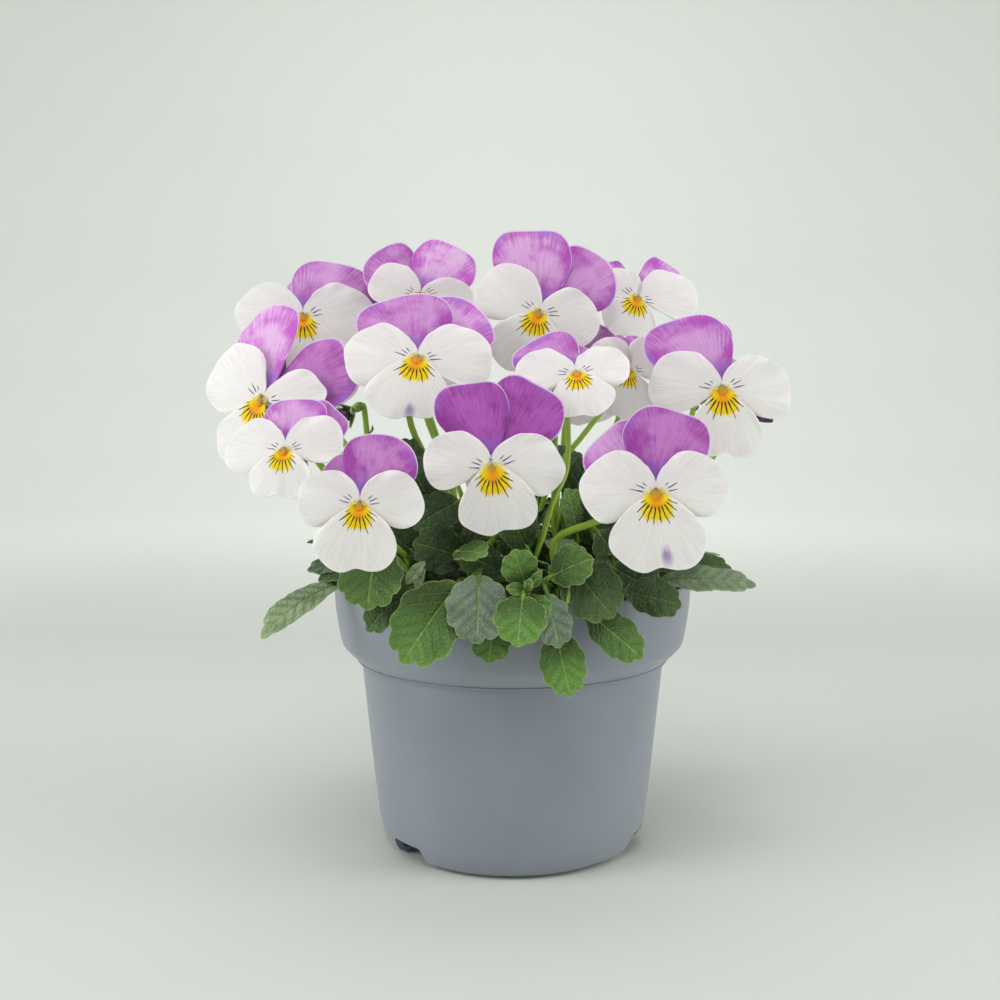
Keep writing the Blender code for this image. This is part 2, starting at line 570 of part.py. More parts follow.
def make_shoots(field):
    """Every leafy stem: its stem, its stalks with their sepals, then its leaves."""
    pieces, paths = {}, {}
    for name, (foot, top, _) in STEMS.items():
        path = stem_path(foot, top)
        paths[name] = path
        stem = tube(path, [STEM_R, STEM_R, STEM_R - 0.2, STALK_R], 0)
        pieces[name] = [stem]
        field.add(name, stem.data, "stem")
    for name, (_, top, carried) in STEMS.items():
        for which in carried.split():
            if which in BLOOMS:
                frame, size = behind(BLOOMS[which]), BLOOMS[which][3]
                made = [star(frame, SEPALS_AT, SEPAL_LONG, SEPAL_INNER, SEPAL_LEAN)]
                hook = hook_path(frame, HOOK_SIDE.get(which, 1))
            else:
                place, turn, lift, long = BUDS[which]
                frame, size = facing(place, turn, lift), 0.5
                hook = [frame @ Vector(p) for p in BUD_HOOK]
                made = [star(frame, BUD_SEPALS_AT, BUD_SEPAL_LONG, BUD_SEPAL_INNER, BUD_SEPAL_LEAN * long)]
            for obj in made:
                field.add(name, obj.data)
            path = clear_stalk(which, hook, Vector(top) - Vector((0, 0, 1)), field, name)
            radii = [1.3 * size] + [STALK_R * max(0.85, min(1.0, size))] * (len(path) - 1)
            stalk = tube(path, radii)
            field.add(name, stalk.data)
            pieces[name] += [*made, stalk]
    blades = {row: blade_tree(row) for row in LEAVES}
    for row in LEAVES:
        place_leaf(row, pieces, paths, field, blades, True)
    left = FILL
    for n in range(FILL_TRIES):
        if left and place_leaf(drawn_leaf(n), pieces, paths, field, blades, False):
            left -= 1
    for name, made in pieces.items():
        fuse(name, made, MATERIALS["green"])


def drawn_leaf(n):
    """Leaf n of the seeded rule, somewhere in the low dome of foliage, looking outwards and up."""
    draw = random.Random(f"{SEED} leaf {n}")
    angle = draw.uniform(0, 2 * math.pi)
    out = Vector((math.sin(angle), -math.cos(angle), 0))
    away = 48 * math.sqrt(draw.uniform(0.03, 1.0))
    high = 110 - 26 * (away / 48) ** 2
    base = out * away + Vector((0, 0, draw.uniform(79, max(81.0, high))))
    long, width = draw.uniform(15, 22), draw.uniform(9, 14)
    rise = draw.uniform(-0.55, 0.7) if away > 38 else draw.uniform(0.0, 1.2)
    way = out + Vector((draw.uniform(-0.5, 0.5), draw.uniform(-0.5, 0.5), rise))
    tip = base + way.normalized() * long
    looks = out * 0.5 + Vector((draw.uniform(-0.3, 0.3), draw.uniform(-0.3, 0.3), 0.9))
    stem = min(STEMS, key=lambda name: (Vector(STEMS[name][1]).xy - (base - out * 12).xy).length)
    return stem, tuple(base), tuple(tip), width, tuple(looks), draw.uniform(0.8, 2.2), draw.uniform(0.08, 0.2)


def petiole_try(row, stem, k):
    """The leaf's stalk from the blade back to its stem, over the rim where the leaf hangs outside it."""
    draw = random.Random(f"{SEED} petiole {row[1]} {k}")
    base, along, _, up = leaf_frame(row)
    share = draw.uniform(0.25, 1.0)
    foot = stem[1].lerp(stem[2], 2 * share) if share < 0.5 else stem[2].lerp(stem[3], 2 * share - 1)
    nudge = Vector((draw.gauss(0, 1), draw.gauss(0, 1), draw.gauss(0, 1))) * 0.12 * k
    if base.xy.length > 49 and base.z < 79.5:
        over = Vector((base.x * 1.005 + nudge.x, base.y * 1.005, max(77.6, base.z + 1)))
        return [base, over, Vector((over.x * 0.93, over.y * 0.93, 80.5 + 0.03 * k)) + nudge * 0.5, foot]
    bend = base - (along.normalized() + up * draw.uniform(0.2, 1.3)).normalized() * 3.5
    return [base, bend, bend.lerp(foot, 0.45) + nudge, foot]


def place_leaf(row, pieces, paths, field, blades, must):
    """Adds the leaf and its stalk to its stem if there is room, or anyway if it must be there."""
    name = row[0]
    marks = [leaf_point(row, u, v / 8) for v in range(1, 9) for u in (-1, -0.5, 0, 0.5, 1)]
    others = [tree for other, tree in blades.items() if other != row]
    if not must and not (field.room(marks, name, 1.35, 1.2) and apart(marks, others, 1.2)):
        return False
    for k in range(PETIOLE_TRIES if must else 12):
        path = petiole_try(row, paths[name], k)
        clear = stalk_samples(path)
        if (path[-1] - path[0]).length < 36 and field.room(clear[:-1], name, PETIOLE_R + 0.45) and (
            k > PETIOLE_TRIES * 0.7 or apart(clear[1:-1], others, PETIOLE_R + 0.5)
        ):
            break
    else:
        if not must:
            return False
        path = petiole_try(row, paths[name], 0)
    along, low = (5 if must else 4), len(path) - 1
    across = (leaf_point(row, 1, 0.4) - leaf_point(row, -1, 0.4)).normalized()

    def place(u, v):
        step = round(v * (low + along))
        if step < low:
            return path[low - step] + across * PETIOLE_R * (2 * u - 1)
        v = (step - low) / along
        return leaf_point(row, 2 * u - 1, v) + across * (PETIOLE_R * (2 * u - 1) if v == 0 else 0)

    blade = sheet(place, 2, low + along)
    field.add(name, blade.data)
    blades[row] = blade_tree(row)
    pieces[name].append(blade)
    return True


def apart(points, trees, reach):
    """True where no point comes within reach of any of the trees."""
    return not any(tree.find_nearest(p, reach)[0] is not None for tree in trees for p in points)


def make_bud(name, row):
    """The furled petals of a bud, inside its sepals."""
    place, turn, lift, long = row
    frame = facing(place, turn, lift)
    spine = [frame @ Vector((0, share * long, 0)) for share in BUD_SPINE]
    return fuse(name, [tube(spine, BUD_R, 1)], MATERIALS["bud"])


clear_scene()
scene = bpy.context.scene
OBJECT = bpy.data.collections.new("potted_horned_violet")
CUTTERS = bpy.data.collections.new("cutters")
WORK = bpy.data.collections.new("work")
for group in (OBJECT, CUTTERS, WORK):
    scene.collection.children.link(group)
CUTTERS.hide_render = True
MATERIALS = {
    "pot": material("pot_plastic", (0.27, 0.32, 0.37), 0.55),
    "soil": material("soil", (0.035, 0.024, 0.016), 0.95),
    "white": material("petal_white", (0.86, 0.84, 0.83), 0.6),
    "mauve": material("petal_mauve", (0.42, 0.14, 0.52), 0.6),
    "green": material("leaf_green", (0.10, 0.20, 0.055), 0.55),
    "bud": material("bud_purple", (0.12, 0.05, 0.14), 0.6),
}
field = Field()
field.add("pot", make_pot().data)
field.add("soil", make_soil().data)
for letter, row in BLOOMS.items():
    make_bloom(letter, row)
for name, row in BUDS.items():
    make_bud(name, row)
for obj in OBJECT.objects:
    if obj.name not in ("pot", "soil"):
        field.add(obj.name, obj.data)
make_shoots(field)
for cutter in list(CUTTERS.objects):
    bpy.data.objects.remove(cutter, do_unlink=True)
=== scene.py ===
"""The looks of the potted horned violet: finer petals, leaves, stalks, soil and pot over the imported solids.
Lengths are in millimetres until they reach a mesh, in the same frame as the part: the pot stands on z = 0
and the plant's front looks along -y."""

import json
import random
from functools import partialmethod
from math import cos, exp, pi, radians, sin, sqrt

import bmesh
import bpy
from mathutils import Matrix, Vector, noise
from mathutils.bvhtree import BVHTree

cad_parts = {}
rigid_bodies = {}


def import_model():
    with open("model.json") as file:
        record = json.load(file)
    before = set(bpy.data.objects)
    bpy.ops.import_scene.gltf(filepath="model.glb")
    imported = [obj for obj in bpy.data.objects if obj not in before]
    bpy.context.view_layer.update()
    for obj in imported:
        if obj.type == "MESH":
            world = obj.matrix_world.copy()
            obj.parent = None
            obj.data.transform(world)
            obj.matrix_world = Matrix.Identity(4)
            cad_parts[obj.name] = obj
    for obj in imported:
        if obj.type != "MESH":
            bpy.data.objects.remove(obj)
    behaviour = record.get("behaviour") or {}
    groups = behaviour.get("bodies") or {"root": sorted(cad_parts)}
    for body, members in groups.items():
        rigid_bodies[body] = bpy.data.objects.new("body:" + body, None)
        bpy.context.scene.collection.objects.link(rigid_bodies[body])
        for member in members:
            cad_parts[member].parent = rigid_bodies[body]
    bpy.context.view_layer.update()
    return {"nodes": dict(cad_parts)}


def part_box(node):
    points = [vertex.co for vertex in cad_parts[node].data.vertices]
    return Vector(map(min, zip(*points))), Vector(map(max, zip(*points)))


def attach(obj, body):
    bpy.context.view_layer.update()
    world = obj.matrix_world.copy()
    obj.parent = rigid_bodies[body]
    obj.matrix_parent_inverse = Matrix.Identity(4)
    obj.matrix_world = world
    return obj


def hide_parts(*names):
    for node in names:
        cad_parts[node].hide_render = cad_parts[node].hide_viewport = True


MM = 0.001
SEED = 11
MERGE = 1e-6  # corners this many metres apart or less become one
# UV maps: place on a sheet, place on a bloom or leaf in millimetres, tone and kind, place in the smudge.
UV_MAPS = ("sheet", "face", "tone", "smudge")


def mirrored(half):
    """A whole outline from its left half, the middle included or not."""
    return (*half, *[(-place, share) for place, share in reversed(half) if place])


# Pot: radius and height of each point of the wall, outside and inside.
POT_OUTSIDE = (
    (52.6, 75.5), (52.2, 68.5), (50.6, 59.4), (49.0, 56.7), (45.6, 53.6), (45.1, 52.4), (40.6, 17.5),
    (39.3, 8.0), (38.4, 4.2), (36.8, 1.5), (34.0, 0.0),
)
POT_FLOOR = 1.8
POT_INSIDE = ((34.6, POT_FLOOR), (37.4, 5.0), (43.8, 52.6), (48.4, 57.6), (49.6, 61.0))
POT_LIP = ((51.3, 75.6), (52.0, 76.0))
POT_SIDES = 160
POT_SHARP = 32  # edges of the pot sharper than so many degrees aren't smoothed
NOTCH_ANGLES = (-50.0, 70.0, 190.0)
NOTCH_WIDTH, NOTCH_HEIGHT, NOTCH_ROUND = 14.6, 5.6, 1.2
NOTCH_TOP = 0.86  # width of a notch at its top, as a share of its foot's
NOTCH_OUT, NOTCH_DEEP, NOTCH_LOW = 34.0, 18.0, -3.0  # distance, depth and foot of the block that cuts it
COLLAR_FOOT = (45.6, 53.6)
# The bead along the collar's lower edge, and the wall set back under it.
COLLAR_LINE = ((45.95, 53.45), (45.9, 53.2), (45.5, 53.05), (44.6, 53.0), (44.55, 52.5))
COLLAR_STEPS = 24

# Soil: its surface, and how deep the stems stand in it.
SOIL_TOP = 70.0
HOLE_DEPTH = 7.0
CRUMBS = 900

# Radii of the leafy stems, the flower stalks and the leaves' stalks.
STEM_R, STALK_R, PETIOLE_R = 1.5, 0.95, 0.75
TUBE_STEPS = 4  # rings of a stalk to each point of its line

# Petal outlines: place across the petal from one edge to the other, then how far it reaches as a share
# of the petal's length. A side petal's first edge is its upper one.
OUTLINE = {
    "upper": mirrored(((-1, 0.42), (-0.86, 0.72), (-0.66, 0.90), (-0.42, 0.985), (-0.14, 1))),
    "side": (
        (-1, 0.32), (-0.86, 0.54), (-0.67, 0.68), (-0.48, 0.79), (-0.25, 0.90), (0, 0.97), (0.22, 1),
        (0.46, 0.98), (0.7, 0.89), (0.87, 0.73), (1, 0.45),
    ),
    "lower": mirrored(((-1, 0.45), (-0.88, 0.74), (-0.7, 0.92), (-0.45, 1), (-0.2, 1), (0, 0.95))),
}
PETAL = 0.7  # thickness of petals, leaves and sepals
LAYER = {"lower": -1.2, "side": 0.0, "upper": 1.5}  # how far each petal lies behind the throat
BEHIND = 1.25  # how far one upper petal lies behind the other
CLAW, CLAW_RISE = 1.5, 1.2  # how far the foot of an upper petal lies beside and above the throat
CLAW_TURN = 70  # degrees to each side that the foot spreads over
LEAN = 0.12  # how far an upper petal leans back, as a share of its height
CUP, CUP_REACH = 1.5, 20.0  # how far a bloom curves back from its throat, and out to where
ROOT = 0.03  # share of its length at which a petal starts
FOOT_WIDE = 0.14  # how much wider the white petals spread at their feet, so that no gap shows between them
EDGE, EDGE_SWINGS = 0.02, 0.6  # unevenness of a petal's edge, as shares of its length and of its ruffles
MEET, MEET_REACH = 26.0, 4.2  # degrees by which side petals close up over the throat, and out to where
FUNNEL, FUNNEL_REACH = 1.7, 2.6  # how far the lower petal sinks into the throat, and from where
SPUR = ((0, -1.7, 0), (0, 3.0, -0.3), (0, 6.0, -1.5), (0, 9.2, -1.9), (0, 12.0, -1.2))
SPUR_R = (1.4, 1.7, 1.2, 0.95, 0.75)

# Sepals behind a bloom: centre, length, width, how far the tips lean back.
SEPALS_AT, SEPAL_LONG, SEPAL_WIDE, SEPAL_LEAN = (0, 4.6, 3.1), 8.2, 2.6, 2.6
# The same round a bud, where the lean is forward and a share of the bud's length.
BUD_SEPALS_AT, BUD_SEPAL_LONG, BUD_SEPAL_WIDE, BUD_SEPAL_LEAN = (0, 1.6, 0), 3.9, 2.3, -0.62
# The lobe behind each sepal: its length and width as shares of the sepal's, and its lean.
LOBE_LONG, LOBE_WIDE, LOBE_LEAN = 0.34, 0.8, 3.2
# A bud's body: radius, radians that it winds, depth of its folds, size of its stalk's end.
BUD_R, BUD_TWIST, BUD_FOLD, BUD_SIZE = 1.9, 2.2, 0.14, 0.5
# The stigma of a bloom of size 1: half its width, depth and height, how much its top narrows, and how far
# it stands out of and above the throat.
STIGMA_WIDE, STIGMA_DEEP, STIGMA_HIGH, STIGMA_TAPER, STIGMA_OUT, STIGMA_UP = 1.0, 0.6, 1.55, 0.6, 0.75, 0.1
HAIRS, HAIR_R = 26, (0.1, 0.09, 0.04)  # hairs on a side petal, and a hair's radii up to its tip
# The hooked end of a stalk, in the frame of its bloom or bud.
HOOK = ((0, 4.65, 3.1), (0.2, 7.0, 3.3), (2.2, 9.4, 4.2), (3.6, 10.0, 0.4))
BUD_HOOK = ((0, -0.7, 0), (0, 3.4, 0.6), (0, 5.4, 0.0), (0, 6.4, -2.0))

# Blooms: throat, turn to the right and lift in degrees, size of the spur and sepals, and which upper
# petal lies in front (-1 left, 1 right).
BLOOMS = {
    "a": ((-64.0, 7, 155.4), 12, 16, 1.05, 1),
    "b": ((-70.1, -20, 129.7), -30, 8, 1.15, -1),
    "c": ((-57.9, -52, 116.3), -12, 20, 0.80, -1),
    "d": ((-36.4, -71, 104.2), 4, 4, 0.83, 1),
    "e": ((-26.0, -28, 140.9), 6, 24, 1.05, -1),
    "f": ((-5.5, -52, 113.5), -2, 8, 1.00, -1),
    "g": ((-28.3, 9, 162.0), 2, 10, 0.85, 1),
    "h": ((8.0, -8, 155.2), -4, 2, 0.97, -1),
    "i": ((38.4, 8, 161.0), 14, 22, 0.92, -1),
    "j": ((17.2, -33, 136.4), -4, 34, 0.84, -1),
    "k": ((33.6, -14, 138.1), 12, 0, 0.70, -1),
    "l": ((57.3, -30, 132.6), -2, 10, 1.05, -1),
    "m": ((35.6, -60, 106.4), -4, 6, 1.00, 1),
    "n": ((-71, 36, 129), -128, 14, 0.92, 1),
    "o": ((-30, 54, 147), -170, 20, 0.92, -1),
    "p": ((24, 54, 138), 166, 18, 0.90, 1),
    "q": ((66, 32, 136), 118, 18, 0.92, -1),
    "r": ((-6, 60, 112), 178, 8, 0.88, 1),
    "s": ((45, 46, 100), 140, 8, 0.86, -1),
}
# Petals of each bloom, upper left, upper right, left, right and lower: direction from straight up, half
# the spread, length, and, where one edge is longer than the other, by how much.
PETALS = {
    "a": ((0, 36, 12.5), (34, 58, 23.5, 0.34), (-78, 54, 20), (82, 54, 22.5), (180, 56, 17)),
    "b": ((-17, 36, 29), (64, 40, 27, 0.12), (-58, 52, 24.3), (80, 36, 20.5), (203, 46, 22)),
    "c": ((-2, 58, 15.2, 0.05), (42, 42, 16.5), (-80, 52, 16.6), (66, 50, 15.5), (180, 60, 13.5)),
    "d": ((-33, 34, 12.4), (24, 53, 17.3, 0.08), (-77, 52, 15), (80, 52, 15.3), (184, 55, 16.9, 0.03)),
    "e": ((-14, 60, 23.2), (40, 44, 26), (-78, 53, 20.4), (79, 54, 20.8), (190, 55, 19.2, 0.12)),
    "f": ((-18, 43, 22, -0.12), (33, 43, 24), (-84, 48, 17.6), (88, 47, 18.7, 0.05), (171, 48, 19.2)),
    "g": ((-46, 42, 20.6), (35, 52, 20, 0.05), (-64, 48, 16.2), (98, 48, 17.3), (180, 56, 15)),
    "h": ((-6, 46, 25.4, -0.1), (53, 42, 24.6), (-54, 52, 20), (97, 57, 17.8), (198, 58, 19.6)),
    "i": ((-32, 28, 15.5), (49, 31, 21), (-40, 58, 12), (78, 50, 20.2), (205, 52, 15.8)),
    "j": ((-46, 52, 19.2), (20, 36, 12), (-80, 50, 17), (66, 52, 15), (169, 55, 15.2)),
    "k": ((-30, 40, 10), (25, 40, 10), (-50, 50, 12.5), (58, 60, 13.5), (195, 62, 15.2)),
    "l": ((-27, 50, 23.6, -0.2), (-8, 28, 20), (-76, 51, 20), (80, 54, 18.8, 0.08), (178, 46, 19.8, -0.05)),
    "m": ((-46, 46, 19.8), (13, 52, 21.2), (-79, 55, 18.8), (75, 53, 18.1), (178, 55, 20.5)),
    "n": ((-30, 50, 22), (25, 52, 23), (-78, 53, 18.5), (80, 53, 19), (181, 57, 18.5)),
    "o": ((-24, 50, 23), (34, 48, 22), (-80, 53, 19), (76, 53, 18.5), (178, 57, 18)),
    "p": ((-36, 48, 21.5), (20, 51, 22.5), (-76, 53, 18), (79, 53, 18.5), (183, 57, 18)),
    "q": ((-20, 51, 23), (30, 49, 22), (-79, 53, 18.5), (78, 53, 18), (179, 57, 18.5)),
    "r": ((-32, 50, 21), (26, 50, 22), (-77, 53, 17.5), (81, 53, 17.5), (180, 57, 17.5)),
    "s": ((-26, 50, 21.5), (32, 50, 21), (-81, 53, 17.5), (77, 53, 17), (182, 57, 17)),
}
# How light each upper petal is, from 0 deep to 1 pale, left and right, where it isn't middling.
LIGHTNESS = {
    "a": (0.6, 0.6), "b": (0.95, 0.25), "c": (0.7, 0.3), "d": (0.35, 0.4), "e": (0.45, 0.75),
    "f": (0.0, 0.0), "g": (0.45, 1.0), "h": (0.7, 0.5), "i": (0.5, 0.8), "l": (0.6, 0.6), "m": (0.7, 0.25),
}
# A violet smudge near the edge of some lower petals: angle from straight down, then the distance.
SMUDGES = {"e": (8, 17.4), "m": (-9, 17.2)}
SMUDGE_WIDE, SMUDGE_LONG = 1.7, 3.6  # half its size
FAR_OFF = (9, 9)  # where petals without one lie in it
# Closed buds: place, turn and lift of the pointed end, length.
BUDS = {
    "bud_left": ((-44.5, -30, 125.5), -30, -20, 9.0),
    "bud_right": ((67.5, -15, 127.0), 60, -30, 8.0),
    "bud_back": ((8, 24, 150), 150, 10, 9.0),
}

# Leafy stems by number: foot on the soil, top, and the blooms and buds whose stalks they carry.
STEMS = {
    1: ((2, -24), (3.5, -38, 82), "j"),
    2: ((-8, -25), (-9, -37, 80), "f"),
    3: ((-20, -21), (-27, -32, 82), "d c"),
    4: ((-27, -7), (-38, -12, 84), "b bud_left"),
    5: ((-11, -9), (-15, -14, 90), "e g"),
    6: ((9, -9), (12, -13, 90), "h k"),
    7: ((27, -8), (38, -14, 84), "l bud_right"),
    8: ((19, -20), (27, -30, 82), ""),
    9: ((22, 14), (32, 20, 86), "q s"),
    10: ((10, 21), (14, 32, 84), "p r"),
    11: ((-10, 21), (-14, 30, 86), "o"),
    12: ((-24, 11), (-34, 16, 86), "n a"),
    13: ((5, 6), (7.4, 6.8, 92), "i bud_back"),
    14: ((10, -27), (13, -38, 80), "m"),
}
# Stalks seen between the blooms pass these places on their way down.
STALK_BY = {
    "j": ((15.5, -22, 123), (15, -27, 110), (11, -32, 101), (7.5, -35, 90)),
    "m": ((30, -47, 101), (22, -45, 97), (11, -42, 91.5)),
}

LEFT_HOOKS = "acegjmnq"  # blooms whose hooked stalk passes the spur on its left
STALK_TRIES, PETIOLE_TRIES = 160, 120
STRAY = 0.12  # how much further each try for a stalk strays than the one before
STALK_DEEP = 0.68 * STALK_R  # how deep the line of a stalk lies inside its solid
RIM_R, RIM_HIGH = 49, 79.5  # a leaf further out and lower than this hangs outside the pot

# Where on the leaf material's scale of greens a leaf lies. The darkest greens are partly the leaves' own deep
# green and partly painted shade, for leaves that lie in shade under the blooms and deep in the foliage.
DARK_SHADED, MID, BRIGHT, GREY, PALE = 0.0, 0.25, 0.5, 0.75, 1.0
GREENS = {
    DARK_SHADED: (46, 68, 42), MID: (74, 106, 52), BRIGHT: (104, 152, 62), GREY: (126, 144, 128),
    PALE: (160, 182, 140),
}
# Leaves that fill the dome's inside mostly take the darkest greens, partly painted shade.
FILL_TONES = (DARK_SHADED, DARK_SHADED, 0.08, 0.14, MID, 0.36, 0.66)

# Leaves seen in front: stem, base, tip, width, way the upper face looks, arch, fold, green, teeth a side.
LEAVES = (
    (4, (-46.5, -24, 78.2), (-66.5, -40, 65.5), 9.5, (-0.3, -0.8, 0.8), 3.0, 0.15, PALE, 3),
    (4, (-46.5, -18, 82), (-57.5, -22, 81), 6.0, (0, -0.8, 0.8), 0.8, 0.2, GREY, 3),
    (3, (-35, -47, 91), (-36.5, -55, 75.5), 17.0, (-0.1, -1, 0.35), 1.5, 0.1, 0.3, 5),
    (3, (-26, -46.5, 79), (-37, -51.5, 69.5), 10.5, (-0.2, -0.9, 0.6), 2.0, 0.15, 0.1, 4),
    (3, (-26, -38, 88), (-37, -41, 97), 12.0, (-0.2, -1, 0.4), 1.0, 0.12, DARK_SHADED, 5),
    (2, (-14, -49, 81.5), (-27.5, -60, 63), 18.5, (0, -1, 0.4), 2.0, 0.12, 0.36, 5),
    (2, (-8.5, -52.5, 84), (-8.8, -60, 68), 16.5, (0, -1, 0.35), 1.2, 0.1, GREY, 5),
    (2, (-4.5, -54.2, 73.5), (-6, -56, 62.5), 10.5, (0, -1, 0.15), 0.6, 0.1, 0.35, 3),
    (2, (-12, -36, 86), (-26.5, -40, 91), 13.0, (-0.1, -1, 0.4), 1.0, 0.12, DARK_SHADED, 5),
    (2, (-2, -42.5, 83), (-13.5, -44.5, 89), 10.0, (-0.1, -1, 0.3), 1.0, 0.12, 0.1, 4),
    (1, (4, -38, 89), (-1, -39, 99), 10.0, (0, -1, 0.3), 1.0, 0.12, MID, 4),
    (1, (3.2, -57, 82.5), (0.4, -60, 91.5), 9.5, (0, -1, 0.1), 0.8, 0.15, 0.42, 4),
    (1, (2.6, -60, 80), (1.2, -66, 68.5), 13.5, (0, -1, 0.5), 1.6, 0.12, BRIGHT, 4),
    (14, (8.8, -54, 79.5), (11.5, -60, 67), 9.5, (0.1, -1, 0.3), 0.8, 0.1, GREY, 4),
    (14, (9.5, -52, 83.5), (20.5, -54, 88.5), 11.0, (0.1, -0.9, 0.5), 1.0, 0.15, 0.35, 4),
    (14, (13, -48, 87.5), (25.5, -54.5, 73.5), 16.0, (0.1, -1, 0.4), 1.2, 0.12, 0.08, 5),
    (14, (19, -51.8, 74.5), (33, -53, 63), 11.0, (0.1, -1, 0.3), 0.8, 0.1, 0.32, 4),
    (14, (10.8, -54.8, 70), (14.5, -58, 54.5), 12.0, (0, -1, 0.2), 1.0, 0.1, BRIGHT, 5),
    (8, (23, -30.5, 93), (31, -32.5, 82), 12.0, (0.1, -1, 0.5), 1.2, 0.12, 0.15, 4),
    (14, (26, -40.5, 84.5), (38.5, -45.5, 77.5), 12.0, (0.1, -1, 0.5), 1.2, 0.12, DARK_SHADED, 5),
    (14, (29, -46, 79), (44, -45, 75), 10.5, (0.2, -1, 0.4), 1.0, 0.12, 0.06, 4),
    (7, (40, -33, 79.8), (65, -38, 79.2), 8.5, (0.1, -0.8, 0.8), 1.5, 0.15, 0.85, 3),
    (7, (37, -25, 83), (60, -30, 82.5), 9.0, (0.1, -0.8, 0.8), 1.5, 0.15, 0.08, 4),
    (5, (-22, -26, 100), (-29, -29, 113), 12.0, (-0.2, -1, 0.3), 1.5, 0.12, DARK_SHADED, 5),
    (5, (-14.5, -28, 101), (-27, -32, 94), 12.5, (-0.2, -1, 0.3), 1.2, 0.12, DARK_SHADED, 4),
    (5, (-24, -18, 104), (-31, -18, 118), 10.0, (-0.4, -1, 0.2), 1.0, 0.12, 0.12, 4),
    (6, (16, -17, 99), (22, -18, 113), 10.5, (0.2, -1, 0.2), 1.0, 0.12, DARK_SHADED, 4),
    (6, (17, -23.5, 91), (28, -26, 99), 12.0, (0.1, -1, 0.3), 1.0, 0.12, DARK_SHADED, 4),
)
# Leaflets at growing tips that only this script adds, as above.
LEAFLETS = (
    (1, (3.8, -58.5, 79.6), (8.6, -62, 75.2), 6.2, (0.2, -1, 0.5), 0.6, 0.2, 0.45, 3),
    (1, (3.6, -58.2, 80.4), (7.2, -60, 86.4), 2.6, (0.2, -1, 0.3), 0.4, 0.3, 0.4, 2),
    (1, (3.2, -58.2, 80.6), (-1.6, -61, 82.2), 3.2, (-0.2, -1, 0.4), 0.5, 0.3, 0.5, 2),
    (1, (3.5, -59.0, 80.2), (4.4, -61, 84.4), 2.2, (0, -1, 0.3), 0.3, 0.3, 0.55, 0),
    (3, (-23.0, -43, 86.4), (-27.4, -47, 80.9), 3.4, (-0.2, -1, 0.4), 0.4, 0.2, PALE, 3),
    (3, (-23.4, -43.5, 85.2), (-25.0, -47.5, 79.6), 2.6, (0.1, -1, 0.4), 0.3, 0.2, PALE, 2),
)
FILL_TRIES = 9000  # how many leaves the part's seeded rule draws at most
DOME_R, DOME_TOP, DOME_FALL, DOME_LOW = 48, 110, 26, 79  # the low dome of foliage that it fills
ON_BLADE = 0.45  # a leaf that the part kept lies this close under its solid's surface
EXTRA, EXTRA_TRIES, EXTRA_GAP = 84, 9000, 0.5  # further leaves that only this script adds
RIB_STEP, PUCKER = 3.3, 0.42  # distance between a leaf's side veins, and how far it rises between them
RIB_SLANT = 0.95  # how far a side vein climbs along the leaf for each millimetre outwards
MIDRIB_DEEP, MIDRIB_HALF = 0.28, 0.45  # the groove over a leaf's midrib: depth and half its width
HALVES_APART = 1.7  # radians by which the waves of a leaf's two edges differ
WIDE_LOW, BLUNT, SCALLOP = 0.86, 0.7, 0.07  # how low down, blunt and lobed the part's leaves are
SHOULDER = 0.16  # how much narrower a leaf is at its foot
STALK_INTO = 0.14  # how far up a leaf its stalk runs, as a share of its length
BRACT_WIDE = 1.1
STIPULES_AT = (0.45, 0.75, 0.98)  # where up a stem its pairs of leaflets are
TOOTH = 0.17  # depth of the notches in a leaf's edge, as a share of its size
BLADE, PETAL_BLADE = 0.35, 0.4  # thickness of leaves and of petals here
PETAL_ROWS, LEAF_ROWS = 18, 7  # how finely petals and leaves are divided outwards
PETAL_STEPS = {"lower": 40, "side": 34, "upper": 34}  # and round a petal's edge

# Markings of a bloom of size 1, in its own frame, about a centre this far below where the petals meet.
MARK_DROP, MARK_DROPS = 1.3, {"f": 2.6, "i": 1.7}
LOWER_STEP, LOWER_LONG = 14.2, 7.7  # degrees between the lower petal's dark lines, reach of the longest
SIDE_FIRST, SIDE_STEP, SIDE_LONG = 13.0, 15.0, 6.4  # the same for the three lines on each side petal
LOWER_START, SIDE_START = 2.6, 2.8  # how far out the lines start
WHISKER = 0.22  # half a line's width
YELLOW_LOW, YELLOW_WIDE, YELLOW_HIGH = 2.5, 3.7, 4.1  # its centre below the markings', and half its size
HEART_LOW, HEART_WIDE, HEART_HIGH = 2.0, 2.2, 3.2  # the same for the orange in it

# Inputs of the Principled shader by the short names that finishes use.
SOCKETS = {
    "gloss": "Specular IOR Level", "sheen": "Sheen Weight", "glow": "Subsurface Weight",
    "glow_depth": "Subsurface Scale",
}
GLOW_TINT = (1.0, 0.95, 0.9)

# Studio lights: name, place in metres, diameter in metres, watts.
LIGHTS = (
    ("key", (-0.88, -0.34, 0.5), 0.6, 4.3),
    ("fill", (0.88, -0.2, 0.4), 0.6, 3.2),
    ("front", (-0.1, -0.7, 1.1), 0.5, 3.9),
    ("top", (0.0, 0.2, 0.95), 0.8, 2.0),
)
WASH_TURNS = (-90, 0, 90)  # where the lamps that light the backdrop stand, in degrees from straight behind
WASH_POWER, WASH_SIZE = 10.0, 0.6
WASH_OUT, WASH_UP, WASH_AIM = 0.75, 0.95, 0.35  # their place and the height that they are aimed at
LIGHT_AIM = 0.1  # height that the other lights are aimed at
WORLD_LIGHT, WORLD_COLOUR = 0.29, (247, 250, 247)
FLOOR_COLOUR, FLOOR_SIDES, FLOOR_MERGE = (214, 217, 212), 96, 1e-5
